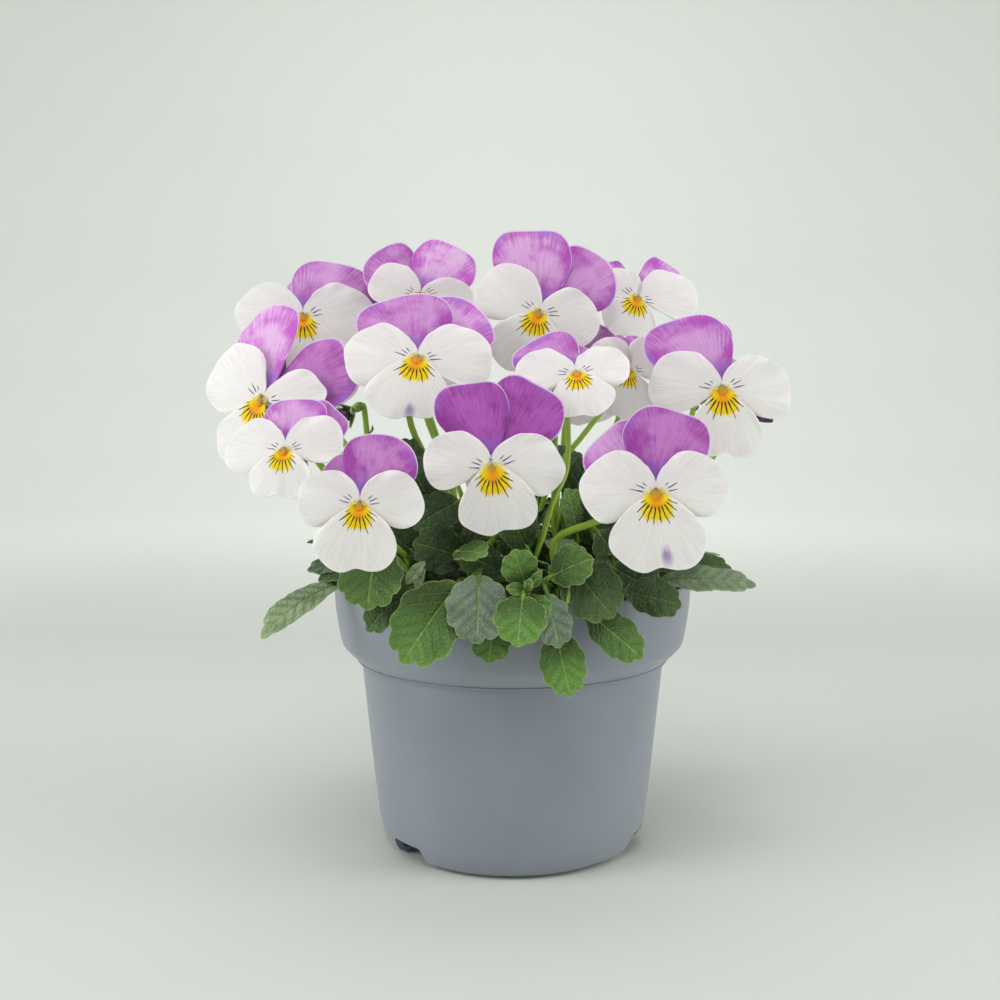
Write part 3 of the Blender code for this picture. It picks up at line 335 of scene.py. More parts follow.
# The floor, flat in the middle and curved up all round: radius and height in metres.
FLOOR = (
    (0, 0), (0.7, 0), (1.2, 0), (1.45, 0.04), (1.7, 0.16), (1.92, 0.38), (2.04, 0.65), (2.08, 1.0),
    (2.08, 1.5),
)

# Camera: it stands in front of the pot, level with the lower blooms.
CAMERA_BACK, CAMERA_HIGH = 350.0, 125.8
SENSOR, FOCAL = 36.0, 42.12
SHIFT_X, SHIFT_Y = -0.0124, -0.089


def through(rows, t):
    """A smooth curve through equally spaced rows of numbers, at t from 0 to 1."""
    at = min(max(t, 0.0), 1.0) * (len(rows) - 1)
    i = min(int(at), len(rows) - 2)
    f = at - i
    a, b, c, d = (rows[min(max(i + k, 0), len(rows) - 1)] for k in (-1, 0, 1, 2))
    return tuple(
        q + 0.5 * f * (r - p + f * (2 * p - 5 * q + 4 * r - s + f * (3 * (q - r) + s - p)))
        for p, q, r, s in zip(a, b, c, d)
    )


def facing(place, turn, lift):
    """The frame of a bloom or bud, which looks along its own -y."""
    spin = Matrix.Rotation(radians(turn), 4, "Z") @ Matrix.Rotation(-radians(lift), 4, "X")
    return Matrix.Translation(place) @ spin


def behind(place, turn, lift, size, _):
    """The frame for a bloom's spur, sepals and hooked stalk."""
    return facing(place, turn, lift) @ Matrix.Diagonal((size, 1, size, 1))


def swing(count, at, start):
    """A wave with so many swings from 0 to 1, that starts this far into one."""
    return sin(2 * pi * (count * at + start))


def petal_point(kind, petal, side, front, waves, u, v):
    """A point of a petal in the bloom's own frame: u runs round its edge, v outwards from the throat."""
    axis, half, length, skew = (*petal, 0)[:4]
    wave, swings, start, ruffle, ruffles, first = waves
    place, share = through(OUTLINE[kind], u)
    if kind == "lower" or (kind == "side" and place > 0):
        half *= 1 + FOOT_WIDE * (1 - v)
    angle = axis + (-half if kind == "side" and side < 0 else half) * place
    uneven = 1 + EDGE * v**3 * swing(EDGE_SWINGS * ruffles, u, first)
    reach = length * share * (1 + skew * place) * (ROOT + (1 - ROOT) * v) * uneven
    if kind == "side" and place < 0:
        angle += side * place * MEET * exp(-((reach / MEET_REACH) ** 2))
    edge = radians(angle)
    x, z = reach * sin(edge), reach * cos(edge)
    depth = LAYER[kind] + CUP * (x * x + z * z) / CUP_REACH**2
    depth += wave * v**3 * swing(swings, u, start)
    depth += ruffle * v**5 * swing(ruffles, u, first)
    if kind == "upper":
        x += CLAW * (1 - v) * sin(radians(CLAW_TURN * (2 * u - 1)))
        z += CLAW_RISE * (1 - v)
        depth += LEAN * z + (0 if front else BEHIND)
    if kind == "lower":
        depth += FUNNEL * exp(-((reach / FUNNEL_REACH) ** 2))
    return Vector((x, depth, z))


def bloom_waves(letter):
    """Height, number and start of the broad waves of each petal, as in the part, and of its fine ruffles."""
    draw = random.Random(SEED * 100 + ord(letter))
    names = (("lower", 1), ("side", -1), ("side", 1), ("upper", -1), ("upper", 1))
    waves = {key: (draw.uniform(0.3, 0.5), draw.uniform(1.6, 2.6), draw.random()) for key in names}
    fine = random.Random(f"{SEED} ruffles {letter}")
    return {
        key: (*waves[key], fine.uniform(0.15, 0.35), fine.uniform(3.5, 6), fine.random()) for key in names
    }


class Leaf:
    """A leaf, by its stem, foot, tip, width, way its upper face looks, arch, fold, green and teeth a side.
    steps is how finely its edge is divided."""

    def __init__(self, stem, foot, tip, width, looks, arch, fold, tone=0.0, teeth=0, steps=64):
        self.stem, self.foot, self.width, self.arch, self.fold = stem, foot, width, arch, fold
        self.tone, self.teeth, self.steps = tone, teeth, steps
        self.base, self.along = Vector(foot), Vector(tip) - Vector(foot)
        self.across = self.along.cross(Vector(looks)).normalized()
        self.up = self.across.cross(self.along).normalized()

    def place(self, x, v, lift):
        """x across the leaf, v from its foot at 0 to its tip, and raised."""
        return self.base + self.along * v + self.across * x + self.up * lift

    def point(self, u, v):
        """A point of the leaf as the part has it, where u goes across from -1 to 1."""
        lobes = 1 - SCALLOP * cos(6 * pi * v)
        half = 0.5 * self.width * sin(pi * v**WIDE_LOW) ** BLUNT * lobes
        return self.place(half * u, v, 4 * self.arch * v * (1 - v) + self.fold * half * abs(u))

    def tree(self):
        """The blade as a search tree."""
        points = [self.point(u, v / 8) for v in range(9) for u in (-1, 0, 1)]
        corners = [3 * v + u for v in range(8) for u in range(2)]
        return BVHTree.FromPolygons(points, [(k, k + 1, k + 4, k + 3) for k in corners])

    def outline(self, egg, u, v):
        """A place on the flat leaf, across and along it: u goes round its edge, v out from its middle."""
        turn = pi * (2 * u - 1)
        lobe = abs(cos((self.teeth + 0.5) * turn)) ** 0.5
        notched = min(1.0, 2.6 * (1 - abs(turn) / pi))
        reach = v * (1 - TOOTH * (1 - lobe) * notched * v**3)
        narrow = 1 + egg * cos(turn) - SHOULDER * max(0.0, -cos(turn)) ** 3
        along = 0.5 * self.along.length * (1 + cos(turn) * reach)
        return 0.5 * self.width * narrow * sin(turn) * reach, along

    def blade(self, waves, x, y):
        """Where a place on the flat leaf lies in space, with its arch, fold, puckers and waved edge."""
        wave, swings, start = waves
        v = y / self.along.length
        out = min(1.0, 2 * abs(x) / self.width)
        lift = 4 * self.arch * v * (1 - v) + self.fold * abs(x)
        turn = 2 * pi * (swings * v + start) + (x > 0) * HALVES_APART
        lift += wave * self.width * out * out * sin(turn)
        lift -= PUCKER * out * (1 - 0.6 * out) * cos(2 * pi * (y - RIB_SLANT * abs(x)) / RIB_STEP)
        lift -= MIDRIB_DEEP * exp(-((x / MIDRIB_HALF) ** 2)) * (1 - v)
        return self.place(x, v, lift)

    def add(self, bm, draw):
        """Adds the toothed blade to a mesh, and gives back where its stalk ends in it."""
        waves = (draw.uniform(0.03, 0.07), draw.uniform(1.2, 2.4), draw.random())
        egg, chance = draw.uniform(-0.04, 0.2), draw.random()

        def put(u, v):
            return self.blade(waves, *self.outline(egg, u, v))

        def maps(u, v):
            x, y = self.outline(egg, u, v)
            return {"sheet": (y / self.along.length, v), "face": (x, y), "tone": (self.tone, chance)}

        made = add_sheet(bm, put, self.steps, LEAF_ROWS, maps)
        bmesh.ops.remove_doubles(bm, verts=made, dist=MERGE)
        return self.blade(waves, 0, STALK_INTO * self.along.length)


def stem_path(foot, top):
    """The line of a leafy stem, from inside the soil up."""
    low = Vector((*foot, SOIL_TOP - HOLE_DEPTH + 1.5))
    ground, top = Vector((*foot, SOIL_TOP + 3)), Vector(top)
    return [low, ground, ground.lerp(top, 0.55) + Vector((0, 0, 1.5)), top]


def hook_path(face, hook, side=1):
    """The hooked end of a stalk, which passes a bloom's spur on the left (-1) or right (1)."""
    return [face @ Vector((x * side, y, z)) for x, y, z in hook]


def bezier(a, b, c, d, t):
    """A point at t on the curve from a to d that b and c pull at."""
    s = 1 - t
    return a * s**3 + b * (3 * s * s * t) + c * (3 * s * t * t) + d * t**3


def strayed(draw, k, rise=1.0):
    """How far try k strays. Each further try strays more."""
    return Vector((draw.gauss(0, 1), draw.gauss(0, 1), draw.gauss(0, rise))) * STRAY * k


def stalk_try(name, hook, top, k):
    """The part's rule for a stalk from the hook down to the stem's top."""
    draw = random.Random(f"{SEED} stalk {name} {k}")
    shift, low_shift = strayed(draw, k, 0.5), strayed(draw, k, 0.5)
    if name in STALK_BY and k < STALK_TRIES / 2:
        return [*hook, *[Vector(p) + shift * 0.2 for p in STALK_BY[name]], top]
    start, down = hook[-1], (hook[-1] - hook[-2]).normalized()
    fall = start.z - top.z
    b = start + down * 3 + Vector((0, 0, -max(8.0, 0.45 * fall))) + shift
    c = top + Vector((0, 0, 0.35 * fall)) + low_shift
    return [*hook, *[bezier(start, b, c, top, t) for t in (0.25, 0.5, 0.75, 1.0)]]


def petiole_try(leaf, stem, k):
    """The part's rule for a leaf's stalk, over the pot's rim where the leaf hangs outside it."""
    draw = random.Random(f"{SEED} petiole {leaf.foot} {k}")
    base, share = leaf.base, draw.uniform(0.25, 1.0)
    foot = stem[1].lerp(stem[2], 2 * share) if share < 0.5 else stem[2].lerp(stem[3], 2 * share - 1)
    nudge = strayed(draw, k)
    if base.xy.length > RIM_R and base.z < RIM_HIGH:
        over = Vector((base.x * 1.005 + nudge.x, base.y * 1.005, max(77.6, base.z + 1)))
        return [base, over, Vector((over.x * 0.93, over.y * 0.93, 80.5 + 0.03 * k)) + nudge * 0.5, foot]
    bend = base - (leaf.along.normalized() + leaf.up * draw.uniform(0.2, 1.3)).normalized() * 3.5
    return [base, bend, bend.lerp(foot, 0.45) + nudge, foot]


def outward(angle):
    """Level, and away from the pot's axis."""
    return Vector((sin(angle), -cos(angle), 0))


def nearest_stem(place):
    return min(STEMS, key=lambda stem: (Vector(STEMS[stem][1]).xy - place.xy).length)


def drawn_leaf(n):
    """Leaf n of the part's seeded rule, somewhere in the low dome of foliage, looking outwards and up."""
    draw, look = random.Random(f"{SEED} leaf {n}"), random.Random(f"{SEED} look {n}")
    out = outward(draw.uniform(0, 2 * pi))
    away = DOME_R * sqrt(draw.uniform(0.03, 1.0))
    high = DOME_TOP - DOME_FALL * (away / DOME_R) ** 2
    base = out * away + Vector((0, 0, draw.uniform(DOME_LOW, max(DOME_LOW + 2.0, high))))
    long, width = draw.uniform(15, 22), draw.uniform(9, 14)
    rise = draw.uniform(-0.55, 0.7) if away > 38 else draw.uniform(0.0, 1.2)
    way = out + Vector((draw.uniform(-0.5, 0.5), draw.uniform(-0.5, 0.5), rise))
    tip = base + way.normalized() * long
    looks = out * 0.5 + Vector((draw.uniform(-0.3, 0.3), draw.uniform(-0.3, 0.3), 0.9))
    arch, fold = draw.uniform(0.8, 2.2), draw.uniform(0.08, 0.2)
    teeth, tone = look.randint(4, 5), look.choice(FILL_TONES)
    return Leaf(nearest_stem(base - out * 12), tuple(base), tip, width, looks, arch, fold, tone, teeth, 56)


def extra_leaf(n):
    """Leaf n of this script's own rule: smaller ones that fill the dome of foliage, most of all low down."""
    draw, look = random.Random(f"{SEED} extra {n}"), random.Random(f"{SEED} extra look {n}")
    out = outward(draw.uniform(0, 2 * pi))
    away = draw.uniform(22, DOME_R)
    base = out * away + Vector((0, 0, draw.uniform(76, 98 - 0.35 * (away - 22))))
    rise = draw.uniform(-0.5, 0.9)
    way = out * draw.uniform(0.3, 1.0) + Vector((draw.uniform(-0.9, 0.9), draw.uniform(-0.9, 0.9), rise))
    tip = base + way.normalized() * draw.uniform(11, 17)
    looks = out + Vector((draw.uniform(-0.4, 0.4), draw.uniform(-0.4, 0.4), draw.uniform(0.2, 0.9)))
    width, arch = draw.uniform(8, 12), draw.uniform(0.6, 1.4)
    teeth, tone = look.randint(3, 4), look.choice(FILL_TONES)
    return Leaf(nearest_stem(base - out * 8), tuple(base), tip, width, looks, arch, 0.12, tone, teeth, 44)


def solid_tree(name):
    """A CAD node's surface as a search tree, in millimetres."""
    mesh = frame["nodes"][name].data
    points = [v.co / MM for v in mesh.vertices]
    return BVHTree.FromPolygons(points, [tuple(p.vertices) for p in mesh.polygons])


def distance(tree, point, far=5.0):
    """How far the point lies from a tree's surface, or the far limit."""
    hit = tree.find_nearest(point, far)
    return hit[3] if hit[0] is not None else far


def kept_try(tries, marks, depth, tree):
    """Which of the tries for a stalk the part kept: the one whose line runs this deep inside its solid."""
    return min(tries, key=lambda path: sum(abs(distance(tree, p) - depth) for p in marks(path)))


def kept_stalk(name, hook, top, tree):
    """The try for a flower stalk that the part kept."""

    def marks(path):
        return [path[4], path[5], path[6], path[4].lerp(path[5], 0.5), path[5].lerp(path[6], 0.5)]

    return kept_try((stalk_try(name, hook, top, k) for k in range(STALK_TRIES)), marks, STALK_DEEP, tree)


def kept_petiole(leaf, stem, tree):
    """The try for a leaf's stalk that the part kept."""

    def marks(path):
        return [path[1], *path[2:-1], *[a.lerp(b, 0.4) for a, b in zip(path, path[1:])]]

    return kept_try((petiole_try(leaf, stem, k) for k in range(PETIOLE_TRIES)), marks, PETAL / 2, tree)


def kept_fill(trees):
    """The leaves of the seeded rule that the part found room for."""
    marks = ((0, 0.5), (0, 0.75), (1, 0.5), (-1, 0.75))
    return [
        leaf for leaf in map(drawn_leaf, range(FILL_TRIES))
        if all(distance(trees[leaf.stem], leaf.point(*mark), 1.0) < ON_BLADE for mark in marks)
    ]


def extra_leaves(leaves):
    """The extra leaves that clear every solid and every leaf so far."""
    trees = [*[solid_tree(name) for name in frame["nodes"]], *[leaf.tree() for leaf in leaves]]
    found = []
    for leaf in map(extra_leaf, range(EXTRA_TRIES)):
        marks = [leaf.point(u, v / 6) for v in range(1, 7) for u in (-1, 0, 1)]
        if all(distance(tree, p, EXTRA_GAP) >= EXTRA_GAP for tree in trees for p in marks):
            found.append(leaf)
            trees.append(leaf.tree())
        if len(found) == EXTRA:
            break
    return found


def link(name, data):
    """A new object in the scene."""
    obj = bpy.data.objects.new(name, data)
    bpy.context.scene.collection.objects.link(obj)
    return obj


def apply_modifier(obj, modifier):
    """Puts the mesh that the modifier makes in the place of the object's own."""
    made = bpy.data.meshes.new_from_object(obj.evaluated_get(bpy.context.evaluated_depsgraph_get()))
    obj.modifiers.remove(modifier)
    old, name = obj.data, obj.data.name
    obj.data = made
    bpy.data.meshes.remove(old)
    made.name = name


def make_mesh(name, bm):
    """A mesh of the finished shape, smooth all over."""
    for face in bm.faces:
        face.smooth = True
    mesh = bpy.data.meshes.new(name)
    bm.to_mesh(mesh)
    bm.free()
    return mesh


def add_piece(name, mat, bm, node=None, thick=0, smooth_below=40):
    """A finished piece that rides on the root, with its material and the node that it stands for.
    It is smooth but for edges sharper than so many degrees. thick gives open sheets their thickness."""
    bmesh.ops.recalc_face_normals(bm, faces=bm.faces[:])
    obj = link(name, make_mesh(name, bm))
    obj.data.materials.append(materials[mat])
    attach(obj, "root")
    if node:
        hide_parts(node)
    obj.data.set_sharp_from_angle(angle=radians(smooth_below))
    if thick:
        solid = obj.modifiers.new("thick", "SOLIDIFY")
        solid.thickness, solid.offset = thick * MM, 0
        apply_modifier(obj, solid)
        obj.data.set_sharp_from_angle(angle=radians(smooth_below))
    return obj


def uv_layers(bm):
    """The mesh's UV maps by name, made where they are missing."""
    return {name: bm.loops.layers.uv.get(name) or bm.loops.layers.uv.new(name) for name in UV_MAPS}


def add_sheet(bm, place, across, along, marks):
    """Adds a grid: place(u, v) puts its corners, and marks(u, v) gives each UV map's pair of numbers."""
    corners = bmesh.ops.create_grid(bm, x_segments=across, y_segments=along, size=0.5)["verts"]
    values = {}
    for v in corners:
        at = (v.co.x + 0.5, v.co.y + 0.5)
        values[v] = marks(*at)
        v.co = place(*at) * MM
    layers = uv_layers(bm)
    for face in {f for v in corners for f in v.link_faces}:
        for loop in face.loops:
            for name, layer in layers.items():
                loop[layer].uv = values[loop.vert].get(name, (0, 0))
    return corners


def add_tube(bm, points, radii, sides=10, tone=0.0):
    """Adds a round closed tube along the points, smoothed between them."""
    rows = [(*p, r) for p, r in zip(points, radii)]
    count = TUBE_STEPS * (len(rows) - 1)
    rows = [through(rows, k / count) for k in range(count + 1)]
    line = [Vector(row[:3]) for row in rows]
    rings, side = [], Vector((0.3, 0.2, 1)).cross(line[1] - line[0])
    for k, point in enumerate(line):
        ahead = (line[min(k + 1, count)] - line[max(k - 1, 0)]).normalized()
        side = (side - ahead * side.dot(ahead)).normalized()
        other = ahead.cross(side)
        turns = [2 * pi * n / sides for n in range(sides)]
        ring = [point + (side * cos(turn) + other * sin(turn)) * rows[k][3] for turn in turns]
        rings.append([bm.verts.new(at * MM) for at in ring])
    layers = uv_layers(bm)
    faces = [(bm.faces.new(rings[0][::-1]), 0), (bm.faces.new(rings[-1]), count)]
    for k, (a, b) in enumerate(zip(rings, rings[1:])):
        faces += [(bm.faces.new((a[n], a[n - 1], b[n - 1], b[n])), k) for n in range(sides)]
    for face, k in faces:
        for loop in face.loops:
            loop[layers["sheet"]].uv = (0.5, k / count)
            loop[layers["tone"]].uv = (tone, 0)


def add_spun(bm, profile, sides, merge=MERGE):
    """Adds the surface that a profile, of radii and heights in metres, makes about the pot's axis."""
    row = [bm.verts.new((r, 0, z)) for r, z in profile]
    for pair in zip(row, row[1:]):
        bm.edges.new(pair)
    bmesh.ops.spin(
        bm, geom=bm.verts[:] + bm.edges[:], cent=(0, 0, 0), axis=(0, 0, 1), angle=2 * pi, steps=sides,
    )
    bmesh.ops.remove_doubles(bm, verts=bm.verts, dist=merge)


def colour(red, green, blue):
    """A screen colour from 0 to 255 as the linear colour that a shader takes."""
    shares = [c / 255 for c in (red, green, blue)]
    return (*[c / 12.92 if c < 0.04 else ((c + 0.055) / 1.055) ** 2.4 for c in shares], 1)


def feed(tree, entry, value):
    """Gives a node's input its value, or links it to what works it out. A list of numbers is a place."""
    if isinstance(value, list):
        value = add_node(tree, "CombineXYZ", dict(enumerate(value))).outputs[0]
    value = getattr(value, "socket", value)
    if isinstance(value, bpy.types.NodeSocket):
        tree.links.new(value, entry)
    else:
        entry.default_value = value


def add_node(tree, kind, inputs, **settings):
    """A shader node. Its inputs go by name or place."""
    node = tree.nodes.new("ShaderNode" + kind)
    for name, value in settings.items():
        setattr(node, name, value)
    for entry, value in inputs.items():
        feed(tree, node.inputs[entry], value)
    return node


class Number:
    """A number worked out by a material's nodes, so that a material's sums read as sums."""

    def __init__(self, tree, socket):
        self.tree, self.socket = tree, socket

    def do(self, operation, *others):
        """A sum with this number first."""
        node = add_node(self.tree, "Math", dict(enumerate((self, *others))), operation=operation)
        return Number(self.tree, node.outputs[0])

    __add__ = partialmethod(do, "ADD")
    __sub__ = partialmethod(do, "SUBTRACT")
    __mul__ = partialmethod(do, "MULTIPLY")
    __truediv__ = partialmethod(do, "DIVIDE")
    __pow__ = partialmethod(do, "POWER")
    size = partialmethod(do, "ABSOLUTE")
    root = partialmethod(do, "SQRT")
    least = partialmethod(do, "MINIMUM")
    most = partialmethod(do, "MAXIMUM")
    floor = partialmethod(do, "FLOOR")
    whole = partialmethod(do, "ROUND")

    def turn(self, other):
        """The angle in degrees whose tangent is this number over the other."""
        return self.do("ARCTAN2", other) * (180 / pi)

    def ramp(self, low, high):
        """0 below low and 1 above high, or the other way round where low is the greater."""
        inputs = {
            "Value": self, "From Min": min(low, high), "From Max": max(low, high),
            "To Min": float(low > high), "To Max": float(low <= high),
        }
        node = add_node(self.tree, "MapRange", inputs, interpolation_type="SMOOTHSTEP")
        return Number(self.tree, node.outputs["Result"])


class Finish:
    """A Principled material under construction. base is its colour so far."""

    def __init__(self, name, roughness, **values):
        self.material = bpy.data.materials.new(name)
        self.material.use_nodes = True
        self.tree = self.material.node_tree
        self.set("Roughness", roughness)
        self.set("Subsurface Radius", GLOW_TINT)
        for key, value in values.items():
            self.set(SOCKETS[key], value)

    def set(self, entry, value):
        """Gives the shader's input a value or a number."""
        feed(self.tree, self.tree.nodes["Principled BSDF"].inputs[entry], value)

    def uv(self, name):
        """The two numbers of one of the mesh's UV maps."""
        place = add_node(self.tree, "UVMap", {}, uv_map=name).outputs[0]
        return [Number(self.tree, n) for n in add_node(self.tree, "SeparateXYZ", {0: place}).outputs[:2]]

    def place(self):
        """Where the surface is, in metres, in the part's frame."""
        return add_node(self.tree, "TexCoord", {}).outputs["Object"]

    def grain(self, where, scale, detail=3.0, rough=0.55):
        """Smooth random values about 0.5."""
        inputs = {"Vector": where, "Scale": scale, "Detail": detail, "Roughness": rough}
        return Number(self.tree, add_node(self.tree, "TexNoise", inputs).outputs[0])

    def cells(self, where, scale):
        """Distance from the edges between random cells."""
        inputs = {"Vector": where, "Scale": scale}
        node = add_node(self.tree, "TexVoronoi", inputs, feature="DISTANCE_TO_EDGE")
        return Number(self.tree, node.outputs["Distance"])

    def mix(self, amount, first, second):
        """The first colour, or where the amount is 1 the second. A triple is a screen colour."""
        first, second = (colour(*c) if isinstance(c, tuple) else c for c in (first, second))
        return add_node(self.tree, "Mix", {0: amount, 6: first, 7: second}, data_type="RGBA").outputs[2]

    def coat(self, amount, shade):
        """Lays a colour over the others, fully where the amount is 1."""
        self.base = self.mix(amount, self.base, shade)

    def ramp(self, number, stops):
        """A colour read off a table of places and screen colours."""
        node = add_node(self.tree, "ValToRGB", {0: number})
        ends = node.color_ramp.elements
        while len(ends) < len(stops):
            ends.new(0.5)
        for end, (at, shade) in zip(ends, stops.items()):
            end.position, end.color = at, colour(*shade)
        return node.outputs[0]

    def done(self, height, depth, strength):
        """The material, its surface raised by the height times a depth in millimetres."""
        self.set("Base Color", self.base)
        raised = {"Strength": strength, "Distance": depth * MM, "Height": height}
        self.set("Normal", add_node(self.tree, "Bump", raised).outputs[0])
        return self.material


def petal_numbers(finish):
    """What a petal's markings are worked out from: place on the sheet, offsets from the markings' centre,
    tone, kind, direction and distance."""
    x, z = finish.uv("face")
    return *finish.uv("sheet"), x, z, *finish.uv("tone"), x.turn(z), (x * x + z * z).root()


def whisker(off, reach, start, far, soft, fade):
    """A dark line that narrows from its start to its far end, where off is the distance from its middle."""
    taper = ((reach - start) / (far - start) * -0.6 + 1.0).most(0.05)
    line = (off / (taper * WHISKER)).ramp(1.3, soft)
    return line * reach.ramp(start, start + 1.0) * (far - reach).ramp(0.0, fade)


def whiskers(finish, x, z, tone, kind):
    """Dark guide lines: a fan over the lower petal, and three on each side petal."""
    down, reach = x.turn(z * -1), (x * x + z * z).root()
    wobble = (finish.grain([reach * 0.3, down * 0.04, tone * 30], 1.0) - 0.5) * 9
    line = ((down + wobble) / LOWER_STEP).floor() + 0.5
    off = (down + wobble - line * LOWER_STEP).size() * (pi / 180) * reach
    chance = finish.grain([line * 3.7, tone * 50, 0], 1.0, 0.0)
    far = (line.size() - 1.5) ** 2 * -0.26 + LOWER_LONG + (chance - 0.5) * 4.2
    lower = whisker(off, reach, LOWER_START, far, 0.75, 0.5) * line.size().ramp(4.7, 4.4)
    rise = z.turn(x.size())
    row = ((rise - SIDE_FIRST) / SIDE_STEP).whole().most(0.0).least(2.0)
    apart = (rise + wobble * 0.6 - SIDE_FIRST - row * SIDE_STEP).size() * (pi / 180) * reach
    chance = finish.grain([row * 5.1, tone * 70, x.ramp(-0.1, 0.1) * 9], 1.0, 0.0)
    far = row * row * -0.3 + SIDE_LONG + (chance - 0.5) * 2.6
    sides = whisker(apart, reach, SIDE_START, far, 0.7, 0.7)
    return lower * kind.ramp(0.6, 0.4), sides * kind.ramp(0.4, 0.6)


def white_petal():
    """Warm white with faint radial veins, a yellow throat with dark lines, and a violet smudge on some."""
    finish = Finish("petal_white", 0.62, gloss=0.25, glow=0.4, glow_depth=0.002)
    _, out, x, z, tone, kind, angle, reach = petal_numbers(finish)
    streaks = finish.grain([angle * 0.16, reach * 0.05, tone * 40], 3.2, 4.0)
    finish.base = finish.mix(streaks.ramp(0.3, 0.75), (252, 246, 244), (241, 234, 232))
    finish.coat((reach / 20).ramp(0.75, 0.2) * 0.3, (242, 234, 227))
    veins = finish.grain([angle * 0.5, reach * 0.04, tone * 25], 2.2, 1.0).ramp(0.52, 0.72)
    finish.coat(veins * 0.08, (200, 192, 200))
    finish.coat(out.ramp(0.94, 1.0) * 0.6, (255, 252, 252))
    ragged = (finish.grain([angle * 0.2, reach * 0.1, tone * 20], 2.0) - 0.5) * 0.5
    down = z + YELLOW_LOW
    wide = down * -0.2 + YELLOW_WIDE
    squareness = 2.6
    patch = (x.size() / wide) ** squareness + (down.size() / YELLOW_HIGH) ** squareness
    yellow = finish.mix(z.ramp(0.2, 1.4), (255, 214, 0), (255, 238, 150))
    finish.coat((patch ** (1 / squareness) + ragged).ramp(1.16, 0.84), yellow)
    heart = ((x / HEART_WIDE) ** 2 + ((z + HEART_LOW) / HEART_HIGH) ** 2).root() + ragged
    finish.coat(heart.ramp(1.15, 0.3), (254, 160, 0))
    lower, sides = whiskers(finish, x, z, tone, kind)
    finish.coat(lower, (40, 12, 18))
    finish.coat(sides * 0.92, (58, 48, 118))
    near, far = finish.uv("smudge")
    mark = (near * near + far * far).root() + (streaks - 0.5) * 0.9
    finish.coat(mark.ramp(1.15, 0.3) * far.ramp(1.2, -0.4) * 0.85, (132, 96, 172))
    return finish.done(streaks * 0.6 - veins * 0.25, 0.1, 0.6)


def mauve_petal():
    """Mauve, paler along the middle and violet at the foot, its own colour painted paler there as painted
    light against the shade between the petals, with soft radial streaks and a lavender rim.
    """
    finish = Finish("petal_mauve", 0.6, gloss=0.25, glow=0.2, glow_depth=0.002, sheen=0.1)
    across, out, _, _, tone, _, angle, reach = petal_numbers(finish)
    streaks = finish.grain([angle * 0.32, reach * 0.035, tone * 40], 3.0, 4.0)
    fine = finish.grain([angle * 1.4, reach * 0.06, tone * 25], 2.4, 2.0)
    cloud = finish.grain([angle * 0.03, reach * 0.12, tone * 33], 1.4, 2.0)
    sideways = (across * 2 - 1).size()
    middle = sideways**2 * 0.7 + (out - 0.5).size() * 0.5 + (streaks - 0.5) + (cloud - 0.5) * 1.6
    light = finish.mix(tone, (176, 84, 180), (236, 190, 238))
    deep = finish.mix(tone, (138, 34, 142), (200, 84, 202))
    finish.base = finish.mix(middle.ramp(-0.1, 0.65), light, deep)
    finish.coat(streaks.ramp(0.48, 0.75) * 0.35, finish.mix(tone, (112, 34, 134), (180, 88, 194)))
    finish.coat(fine.ramp(0.5, 0.8) * 0.3, (230, 184, 238))
    cool = finish.grain([angle * 0.02, tone * 30, 0], 2.0, 1.0).ramp(0.42, 0.62)
    corner = (out + (streaks - 0.5) * 0.25).ramp(0.78, 1.0) * middle.ramp(0.15, 0.6) * cool
    finish.coat(corner * 0.85, (158, 116, 214))
    # Partly painted light: the violet foot is the petal's own colour, painted paler to lift the shade deep
    # between the side petals.
    finish.coat((reach + (streaks - 0.5) * 3).ramp(10.5, 4.5) * 0.75, (172, 122, 230))
    finish.coat(out.ramp(0.972, 0.992) * 0.75, (240, 214, 246))
    return finish.done(streaks * 0.7 + fine * 0.4, 0.14, 0.7)


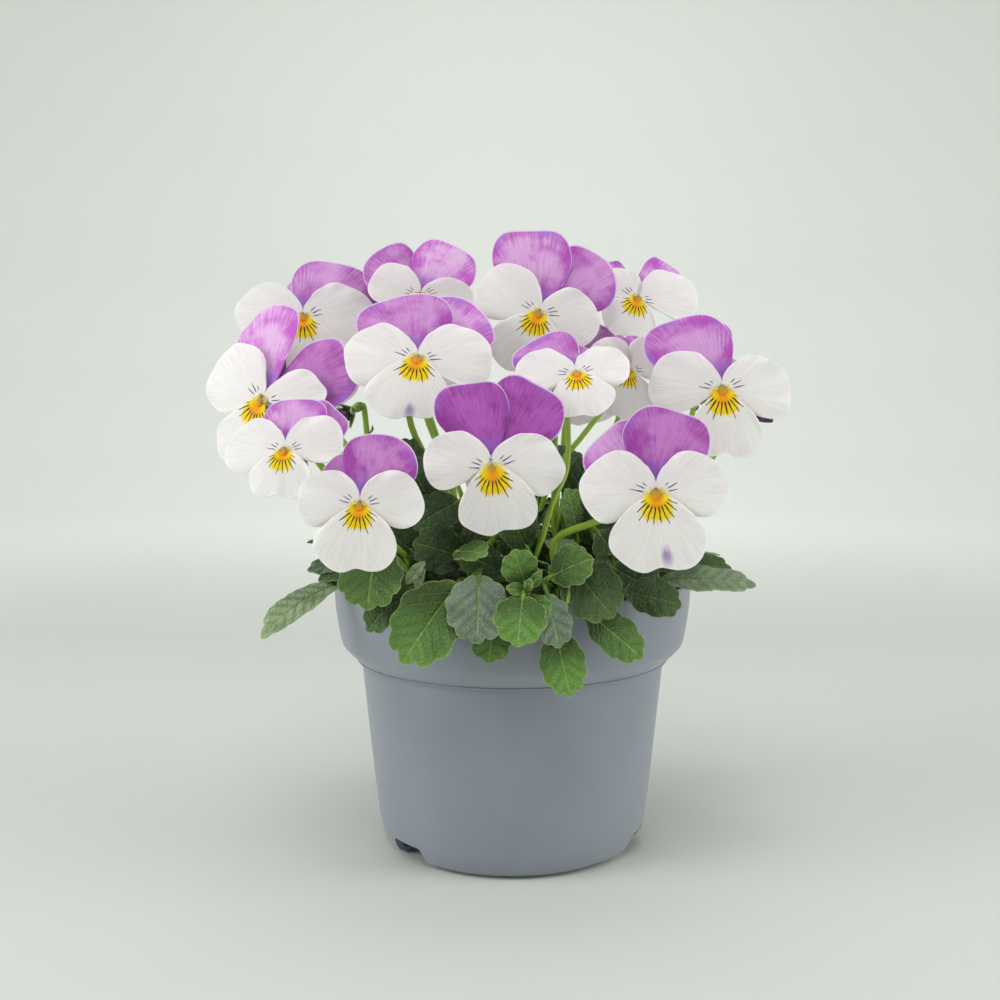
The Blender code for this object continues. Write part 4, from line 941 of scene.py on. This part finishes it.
def leaf_green():
    """Greens from dark to pale by the leaf's tone, the darkest partly painted shade, with a foot darkened
    partly by painted shade, painted shade beside the side veins, sunk veins, a fine net and a pale rim.
    """
    finish = Finish("leaf_green", 0.5, gloss=0.35, glow=0.05, glow_depth=0.0008)
    along, edge = finish.uv("sheet")
    x, y = finish.uv("face")
    tone, chance = finish.uv("tone")
    fresh = tone.ramp(0.0, 0.4) * 0.6 + 0.4
    patch = finish.grain(finish.place(), 160, 3.0)
    finish.base = finish.ramp((tone + (patch - 0.5) * 0.3).most(0.0).least(1.0), GREENS)
    broad = finish.grain([x, y, chance * 60], 0.13, 1.0)
    finish.coat(broad.ramp(0.45, 0.75) * 0.45, (48, 72, 30))
    plain_green = tone.ramp(0.66, 0.52)
    # Partly painted shade: the foot of each plain green leaf is darkened, partly its own deeper green and
    # partly the shade that falls on it under the foliage.
    foot = (along + (broad - 0.5) * 0.5).ramp(0.7, 0.15) * plain_green
    finish.coat(foot * 0.75, (46, 64, 24))
    finish.coat(along.ramp(0.5, 1.0) * fresh * plain_green * 0.35, (132, 172, 78))
    finish.coat(along.ramp(0.16, 0.0) * 0.6, (104, 140, 44))
    net = finish.cells([x, y, chance * 30], 0.8)
    finish.coat(net.ramp(0.09, 0.02) * 0.1, (152, 178, 110))
    rise = (y - x.size() * RIB_SLANT) / RIB_STEP
    rib = ((rise - rise.floor() - 0.5).size() - 0.5).size() * RIB_STEP
    ribs = rib.ramp(0.26, 0.04) * edge.ramp(0.95, 0.6) * rise.ramp(0.0, 0.3)
    midrib = x.size().ramp(0.34, 0.1) * along.ramp(1.0, 0.8)
    # Painted shade: a darker band beside each side vein, standing in for the shade in the puckered grooves.
    beside = rib.ramp(1.2, 0.2) * edge.ramp(1.0, 0.8) * rise.ramp(0.0, 0.3)
    finish.coat(beside * fresh * 0.3, (50, 78, 34))
    finish.coat(ribs * fresh * 0.38, (158, 188, 108))
    finish.coat(midrib * fresh * 0.6, (166, 192, 104))
    finish.coat(edge.ramp(0.955, 1.0) * fresh * 0.5, (184, 204, 140))
    finish.set("Roughness", patch * 0.2 + 0.42)
    return finish.done(ribs.most(midrib) * -0.65 + net.ramp(0.0, 0.2) * 0.6 + patch * 0.5, 0.35, 0.9)


def stalk_green():
    """Fresh yellow-green with faint streaks."""
    finish = Finish("stalk_green", 0.42, gloss=0.4, glow=0.05, glow_depth=0.001)
    tone, _ = finish.uv("tone")
    streaks = finish.grain(finish.place(), 350, 3.0)
    finish.base = finish.mix((streaks + tone * 0.5).ramp(0.2, 1.0), (72, 104, 34), (150, 186, 62))
    return finish.done(streaks, 0.08, 0.5)


def sepal_green():
    """Green with fine lengthwise streaks and pale edges."""
    finish = Finish("sepal_green", 0.5, gloss=0.4)
    across, along = finish.uv("sheet")
    streaks = finish.grain([across * 3, along * 0.6, 0], 4.0, 3.0)
    finish.base = finish.mix(streaks.ramp(0.3, 0.7), (82, 118, 52), (124, 156, 78))
    finish.coat((across * 2 - 1).size().ramp(0.8, 1.0) * 0.5, (172, 190, 130))
    return finish.done(streaks, 0.08, 0.5)


def stigma_brown():
    """Orange below, where it meets the heart of the throat, then olive, and brown at its tip."""
    finish = Finish("stigma", 0.5)
    _, high = finish.uv("sheet")
    spots = finish.grain(finish.place(), 1500, 2.0)
    height = high + (spots - 0.5) * 0.3
    finish.base = finish.mix(height.ramp(0.3, 0.62), (240, 150, 6), (168, 140, 28))
    finish.coat(height.ramp(0.6, 0.9), (112, 88, 38))
    return finish.done(spots, 0.05, 0.5)


def spotted(name, dark, light, scale, roughness, depth):
    """A finish that wanders between two colours."""
    finish = Finish(name, roughness)
    spots = finish.grain(finish.place(), scale, 4.0)
    finish.base = finish.mix(spots.ramp(0.3, 0.7), dark, light)
    return finish.done(spots, depth, 0.6)


def pot_plastic():
    """Moulded plastic with a faint grain, a little duller and paler where hands and soil rubbed it."""
    finish = Finish("pot_plastic", 0.5, gloss=0.45, sheen=0.3)
    cloud, grain = finish.grain(finish.place(), 26, 4.0), finish.grain(finish.place(), 1400, 2.0)
    finish.base = finish.mix(cloud.ramp(0.3, 0.7), (134, 140, 152), (141, 147, 158))
    finish.set("Roughness", cloud * 0.16 + grain * 0.08 + 0.4)
    return finish.done(grain, 0.02, 0.5)


def make_materials():
    """Every material by the name that the pieces call it by."""
    return {
        "white": white_petal(),
        "mauve": mauve_petal(),
        "leaf": leaf_green(),
        "stalk": stalk_green(),
        "sepal": sepal_green(),
        "pot": pot_plastic(),
        "spur": spotted("spur", (206, 196, 222), (226, 222, 226), 300, 0.55, 0.08),
        "stigma": stigma_brown(),
        "beard": spotted("beard", (246, 232, 178), (252, 246, 214), 700, 0.7, 0.02),
        "bud": spotted("bud_purple", (58, 34, 72), (112, 72, 134), 420, 0.5, 0.1),
        "soil": spotted("soil", (24, 18, 14), (62, 48, 38), 700, 0.95, 0.5),
        "crumb": spotted("soil_crumb", (30, 22, 17), (78, 60, 46), 500, 0.95, 0.3),
    }


def make_bloom(letter, row):
    """The five petals, the spur behind them, the bearded throat and the sepals."""
    place, turn, lift, size, front = row
    face, back = facing(place, turn, lift), behind(*row)
    waves = bloom_waves(letter)
    upper_left, upper_right, left, right, low = PETALS[letter]
    draw = random.Random(f"{SEED} tones {letter}")
    light = LIGHTNESS.get(letter, (draw.uniform(0.3, 0.6), draw.uniform(0.3, 0.6)))

    turned = Matrix.Rotation(radians(low[0] - 180), 4, "Y")  # the markings point down the lower petal
    centre = turned @ Vector((0, 0, -MARK_DROPS.get(letter, MARK_DROP)))

    def add_petals(name, *petals):
        """Makes one piece of some petals, each given by its kind, side, shape and tone."""
        bm = bmesh.new()
        for kind, side, shape, tone in petals:

            def local(u, v, kind=kind, side=side, shape=shape):
                return petal_point(kind, shape, side, side == front, waves[kind, side], u, v)

            def maps(u, v, kind=kind, tone=tone, local=local):
                at = local(u, v)
                mark = turned.inverted() @ (at / size - centre)
                return {
                    "sheet": (u, v), "face": (mark.x, mark.z), "tone": (tone, float(kind == "side")),
                    "smudge": smudge_place(letter, kind, at),
                }

            add_sheet(bm, lambda u, v, local=local: face @ local(u, v), PETAL_STEPS[kind], PETAL_ROWS, maps)
        node = f"bloom_{name}_{letter}"
        add_piece(f"petals_{name}_{letter}", name, bm, node, PETAL_BLADE)

    add_petals(
        "white", ("lower", 1, low, draw.random()), ("side", -1, left, draw.random()),
        ("side", 1, right, draw.random()),
    )
    add_petals("mauve", ("upper", -1, upper_left, light[0]), ("upper", 1, upper_right, light[1]))
    make_throat(letter, face @ Matrix.Scale(size, 4) @ Matrix.Translation(centre) @ turned)
    bm = bmesh.new()
    add_tube(bm, [back @ Vector((x, max(y, 1.0), z)) for x, y, z in SPUR], [r * size for r in SPUR_R], 14)
    add_piece("spur_" + letter, "spur", bm)
    make_sepals("sepals_" + letter, back, SEPALS_AT, SEPAL_LONG, SEPAL_WIDE, SEPAL_LEAN)


def smudge_place(letter, kind, at):
    """Where a point of a lower petal lies in the bloom's violet smudge, as shares of the smudge's size."""
    if kind != "lower" or letter not in SMUDGES:
        return FAR_OFF
    turned, away = radians(SMUDGES[letter][0]), SMUDGES[letter][1]
    across = at.x * cos(turned) - at.z * sin(turned)
    down = -at.z * cos(turned) - at.x * sin(turned) - away
    return across / SMUDGE_WIDE, down / SMUDGE_LONG


def sheet_marks(u, v):
    """The UV maps of a sheet that has no other marks."""
    return {"sheet": (u, v)}


def make_throat(letter, face):
    """The stigma in the throat's mouth, and a tuft of pale hairs on each side petal."""

    def put(u, v):
        turn, high = 2 * pi * u, -cos(pi * v)
        around = sin(pi * v) * (1 - STIGMA_TAPER * max(0.0, high))
        x, y = STIGMA_WIDE * around * sin(turn), STIGMA_DEEP * around * cos(turn)
        return face @ Vector((x, y - STIGMA_OUT, STIGMA_HIGH * high + STIGMA_UP))

    bm = bmesh.new()
    add_sheet(bm, put, 18, 12, sheet_marks)
    bmesh.ops.remove_doubles(bm, verts=bm.verts, dist=MERGE)
    add_piece("stigma_" + letter, "stigma", bm)
    bm = bmesh.new()
    draw = random.Random(f"{SEED} beard {letter}")
    for side in (-1, 1):
        for _ in range(HAIRS):
            root = Vector((side * draw.uniform(0.9, 2.0), -0.15, draw.uniform(0.4, 2.0)))
            way = Vector((-side * draw.uniform(0.1, 0.6), -draw.uniform(0.5, 1.0), draw.uniform(-0.6, 0.1)))
            tip = root + way.normalized() * draw.uniform(0.6, 1.0)
            add_tube(bm, [face @ root, face @ root.lerp(tip, 0.5), face @ tip], HAIR_R, 5)
    add_piece("beard_" + letter, "beard", bm)


def make_sepals(name, face, centre, reach, width, lean):
    """Five pointed sepals round the top of a stalk, each with a short lobe behind it."""
    bm = bmesh.new()
    for k in range(5):
        turn = 2 * pi * k / 5
        way, side = Vector((sin(turn), 0, cos(turn))), Vector((cos(turn), 0, -sin(turn)))
        for long, wide, slope in ((reach, width, lean), (-LOBE_LONG * reach, LOBE_WIDE * width, LOBE_LEAN)):

            def put(u, v, long=long, wide=wide, slope=slope, way=way, side=side):
                half = 0.5 * wide * (sin(pi * min(1.0, 0.16 + 0.84 * v)) ** 0.8 + 0.02)
                out = 2 * u - 1
                cup = Vector((0, slope * v + 0.25 * out * out * half, 0))
                return face @ (Vector(centre) + way * (long * v) + side * (out * half) + cup)

            add_sheet(bm, put, 6, 12, sheet_marks)
    add_piece(name, "sepal", bm, None, BLADE)


def make_bud(name, row):
    """The furled petals of a bud: a pointed body with the overlapping edges wound round it."""
    place, turn, lift, long = row
    face = facing(place, turn, lift)

    def put(u, v):
        turned = 2 * pi * u + BUD_TWIST * v
        folds = 1 + BUD_FOLD * cos(5 * (turned + 1.4 * v))
        around = BUD_R * sin(pi * (0.12 + 0.84 * v)) ** 0.8 * folds
        return face @ Vector((around * sin(turned), -long * (0.1 + 0.94 * v), around * cos(turned)))

    bm = bmesh.new()
    add_sheet(bm, put, 40, 24, sheet_marks)
    bmesh.ops.remove_doubles(bm, verts=bm.verts, dist=MERGE)
    bmesh.ops.holes_fill(bm, edges=[e for e in bm.edges if e.is_boundary], sides=60)
    add_piece("petals_" + name, "bud", bm, name)
    make_sepals("sepals_" + name, face, BUD_SEPALS_AT, BUD_SEPAL_LONG, BUD_SEPAL_WIDE, BUD_SEPAL_LEAN * long)


def all_leaves(trees, paths):
    """The leaves of every stem, each with the line of its stalk."""
    leaves = [Leaf(*row) for row in LEAVES]
    leaves += kept_fill(trees)
    for leaf in leaves:
        leaf.stalk = kept_petiole(leaf, paths[leaf.stem], trees[leaf.stem])
    extra = extra_leaves(leaves)
    for leaf in extra:
        leaf.stalk = petiole_try(leaf, paths[leaf.stem], 0)
    return leaves + extra


def make_shoots():
    """Every leafy stem with its leaves, its flower stalks and the small lobed leaflets at its joints."""
    trees = {stem: solid_tree(f"shoot_{stem:02d}") for stem in STEMS}
    paths = {stem: stem_path(foot, top) for stem, (foot, top, _) in STEMS.items()}
    leaves = all_leaves(trees, paths)
    for stem, (_, top, carried) in STEMS.items():
        blades, stalks = bmesh.new(), bmesh.new()
        draw = random.Random(f"{SEED} shoot_{stem:02d}")
        add_tube(stalks, paths[stem], [STEM_R, STEM_R, STEM_R - 0.2, STALK_R], 12)
        for leaf in [leaf for leaf in leaves if leaf.stem == stem]:
            inner = leaf.add(blades, draw)
            radii = [0.3] + [PETIOLE_R * 0.85] * (len(leaf.stalk) - 1) + [PETIOLE_R]
            add_tube(stalks, [inner, *leaf.stalk], radii, 8, draw.uniform(-0.4, 0.4))
        for leaflet in [row for row in LEAFLETS if row[0] == stem]:
            Leaf(*leaflet, 36).add(blades, draw)
        for which in carried.split():
            if which in BLOOMS:
                size = BLOOMS[which][3]
                hook = hook_path(behind(*BLOOMS[which]), HOOK, -1 if which in LEFT_HOOKS else 1)
            else:
                size = BUD_SIZE
                hook = hook_path(facing(*BUDS[which][:3]), BUD_HOOK)
            path = kept_stalk(which, hook, Vector(top) - Vector((0, 0, 1)), trees[stem])
            radii = [1.3 * size] + [STALK_R * max(0.85, min(1.0, size))] * (len(path) - 1)
            add_tube(stalks, path, radii, 10, 1.0)
            add_bracts(blades, path, draw)
        add_stipules(blades, paths[stem], draw)
        add_piece(f"leaves_{stem:02d}", "leaf", blades, f"shoot_{stem:02d}", BLADE)
        add_piece(f"stalks_{stem:02d}", "stalk", stalks)


def add_bracts(bm, path, draw):
    """Two narrow scales on a flower stalk, a little below its hook."""
    at, ahead = path[3].lerp(path[4], 0.5), (path[4] - path[3]).normalized()
    for side in (-1, 1):
        out = ahead.cross(Vector((0.2, side, 0.3))).normalized() * side
        tip = at - ahead * 2.6 + out * 1.8
        Leaf(None, at + out * 0.5, tip, BRACT_WIDE, out, 0.3, 0.2, MID, 0, 16).add(bm, draw)


def add_stipules(bm, path, draw):
    """Lobed leaflets in pairs where leaves join the stem."""
    for share in STIPULES_AT:
        at = path[1].lerp(path[3], share)
        turn = draw.uniform(0, pi)
        for side in (0, pi):
            out = Vector((cos(turn + side), sin(turn + side), 0))
            tip = at + out * draw.uniform(5, 7.5) + Vector((0, 0, draw.uniform(3.5, 7)))
            width, tone = draw.uniform(3.0, 4.2), draw.uniform(0.3, 0.5)
            looks = out * -0.4 + Vector((0, 0, 1))
            Leaf(None, at + out * 0.8, tip, width, looks, 0.8, 0.2, tone, 3, 36).add(bm, draw)


def add_notch_cutter(angle):
    """A block as wide as a notch, with its upper edges rounded, turned about the pot's axis."""
    turn = Matrix.Rotation(radians(angle), 4, "Z")
    bm = bmesh.new()
    bmesh.ops.create_cube(bm, size=1.0)
    for v in bm.verts:
        top = v.co.z > 0
        wide = NOTCH_WIDTH * (NOTCH_TOP if top else 1.0)
        y = v.co.y * NOTCH_DEEP - NOTCH_OUT
        v.co = turn @ Vector((v.co.x * wide, y, NOTCH_HEIGHT if top else NOTCH_LOW)) * MM
    upper = [e for e in bm.edges if all(v.co.z > 0 for v in e.verts)]
    bmesh.ops.bevel(bm, geom=upper, offset=NOTCH_ROUND * MM, segments=4, profile=0.5, affect="EDGES")
    mesh = bpy.data.meshes.new("notch")
    bm.to_mesh(mesh)
    bm.free()
    return link("notch", mesh)


def make_pot():
    """The pot's wall with a bead along its rounded collar, and its three drain notches."""
    collar = POT_OUTSIDE.index(COLLAR_FOOT) + 1
    rounded = [through(POT_OUTSIDE[:collar], k / COLLAR_STEPS) for k in range(COLLAR_STEPS + 1)]
    outside = [*rounded, *COLLAR_LINE, *POT_OUTSIDE[collar + 1:]]
    profile = [(0, POT_FLOOR), *POT_INSIDE, *POT_LIP, *outside, (0, 0)]
    bm = bmesh.new()
    add_spun(bm, [(r * MM, z * MM) for r, z in profile], POT_SIDES)
    pot = add_piece("pot_wall", "pot", bm, "pot")
    for angle in NOTCH_ANGLES:
        cutter = add_notch_cutter(angle)
        cut = pot.modifiers.new("notch", "BOOLEAN")
        cut.operation, cut.object, cut.solver = "DIFFERENCE", cutter, "EXACT"
        apply_modifier(pot, cut)
        bpy.data.objects.remove(cutter, do_unlink=True)
    pot.data.set_sharp_from_angle(angle=radians(POT_SHARP))


def make_soil():
    """Crumbs of potting soil over the carried-over block."""
    frame["nodes"]["soil"].data.materials.clear()
    frame["nodes"]["soil"].data.materials.append(materials["soil"])
    bm = bmesh.new()
    draw = random.Random(f"{SEED} crumbs")
    low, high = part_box("soil")
    for _ in range(CRUMBS):
        angle, away = draw.uniform(0, 2 * pi), sqrt(draw.random()) * (high.x / MM - 1.2)
        size = draw.uniform(0.5, 1.7)
        spot = Vector((away * sin(angle), away * cos(angle), 71.2 - 1.6 * (away / 48) ** 2))
        stretch = Vector((draw.uniform(0.7, 1.4), draw.uniform(0.7, 1.4), draw.uniform(0.5, 0.9)))
        for v in bmesh.ops.create_icosphere(bm, subdivisions=1, radius=1.0)["verts"]:
            bumpy = 1 + 0.5 * noise.noise(v.co * 1.3 + spot)
            v.co = (spot + Vector(v.co * stretch) * size * bumpy) * MM
    add_piece("soil_crumbs", "crumb", bm, smooth_below=25)


def add_lamp(name, at, towards, size, power):
    """A round soft lamp."""
    lamp = bpy.data.lights.new(name, "AREA")
    lamp.shape, lamp.size, lamp.energy = "DISK", size, power
    obj = link(name, lamp)
    obj.location = at
    obj.rotation_euler = (towards - at).to_track_quat("-Z", "Y").to_euler()


def make_stage():
    """Plain pale floor that curves up into a backdrop, soft studio light and the camera."""
    world = bpy.data.worlds.new("studio")
    bpy.context.scene.world = world
    world.use_nodes = True
    backdrop = world.node_tree.nodes["Background"]
    backdrop.inputs["Color"].default_value = colour(*WORLD_COLOUR)
    backdrop.inputs["Strength"].default_value = WORLD_LIGHT
    bm = bmesh.new()
    add_spun(bm, FLOOR, FLOOR_SIDES, FLOOR_MERGE)
    floor = link("floor", make_mesh("floor", bm))
    finish = Finish("floor", 0.85)
    finish.set("Base Color", colour(*FLOOR_COLOUR))
    floor.data.materials.append(finish.material)
    for name, at, size, power in LIGHTS:
        add_lamp(name, Vector(at), Vector((0, 0, LIGHT_AIM)), size, power)
    for turn in WASH_TURNS:
        out = Vector((sin(radians(turn)), cos(radians(turn)), 0))
        at = out * WASH_OUT + Vector((0, 0, WASH_UP))
        add_lamp(f"wash_{turn + 90}", at, out * 2.0 + Vector((0, 0, WASH_AIM)), WASH_SIZE, WASH_POWER)
    camera = link("camera", bpy.data.cameras.new("camera"))
    camera.location = (0, -CAMERA_BACK * MM, CAMERA_HIGH * MM)
    camera.rotation_euler = (pi / 2, 0, 0)
    camera.data.sensor_width, camera.data.lens = SENSOR, FOCAL
    camera.data.shift_x, camera.data.shift_y = SHIFT_X, SHIFT_Y
    camera.data.clip_start = 0.01
    bpy.context.scene.camera = camera
    bpy.context.scene.view_settings.view_transform = "Standard"


for obj in list(bpy.data.objects):
    bpy.data.objects.remove(obj, do_unlink=True)
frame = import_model()
materials = make_materials()
make_pot()
make_soil()
for letter, row in BLOOMS.items():
    make_bloom(letter, row)
for name, row in BUDS.items():
    make_bud(name, row)
make_shoots()
make_stage()
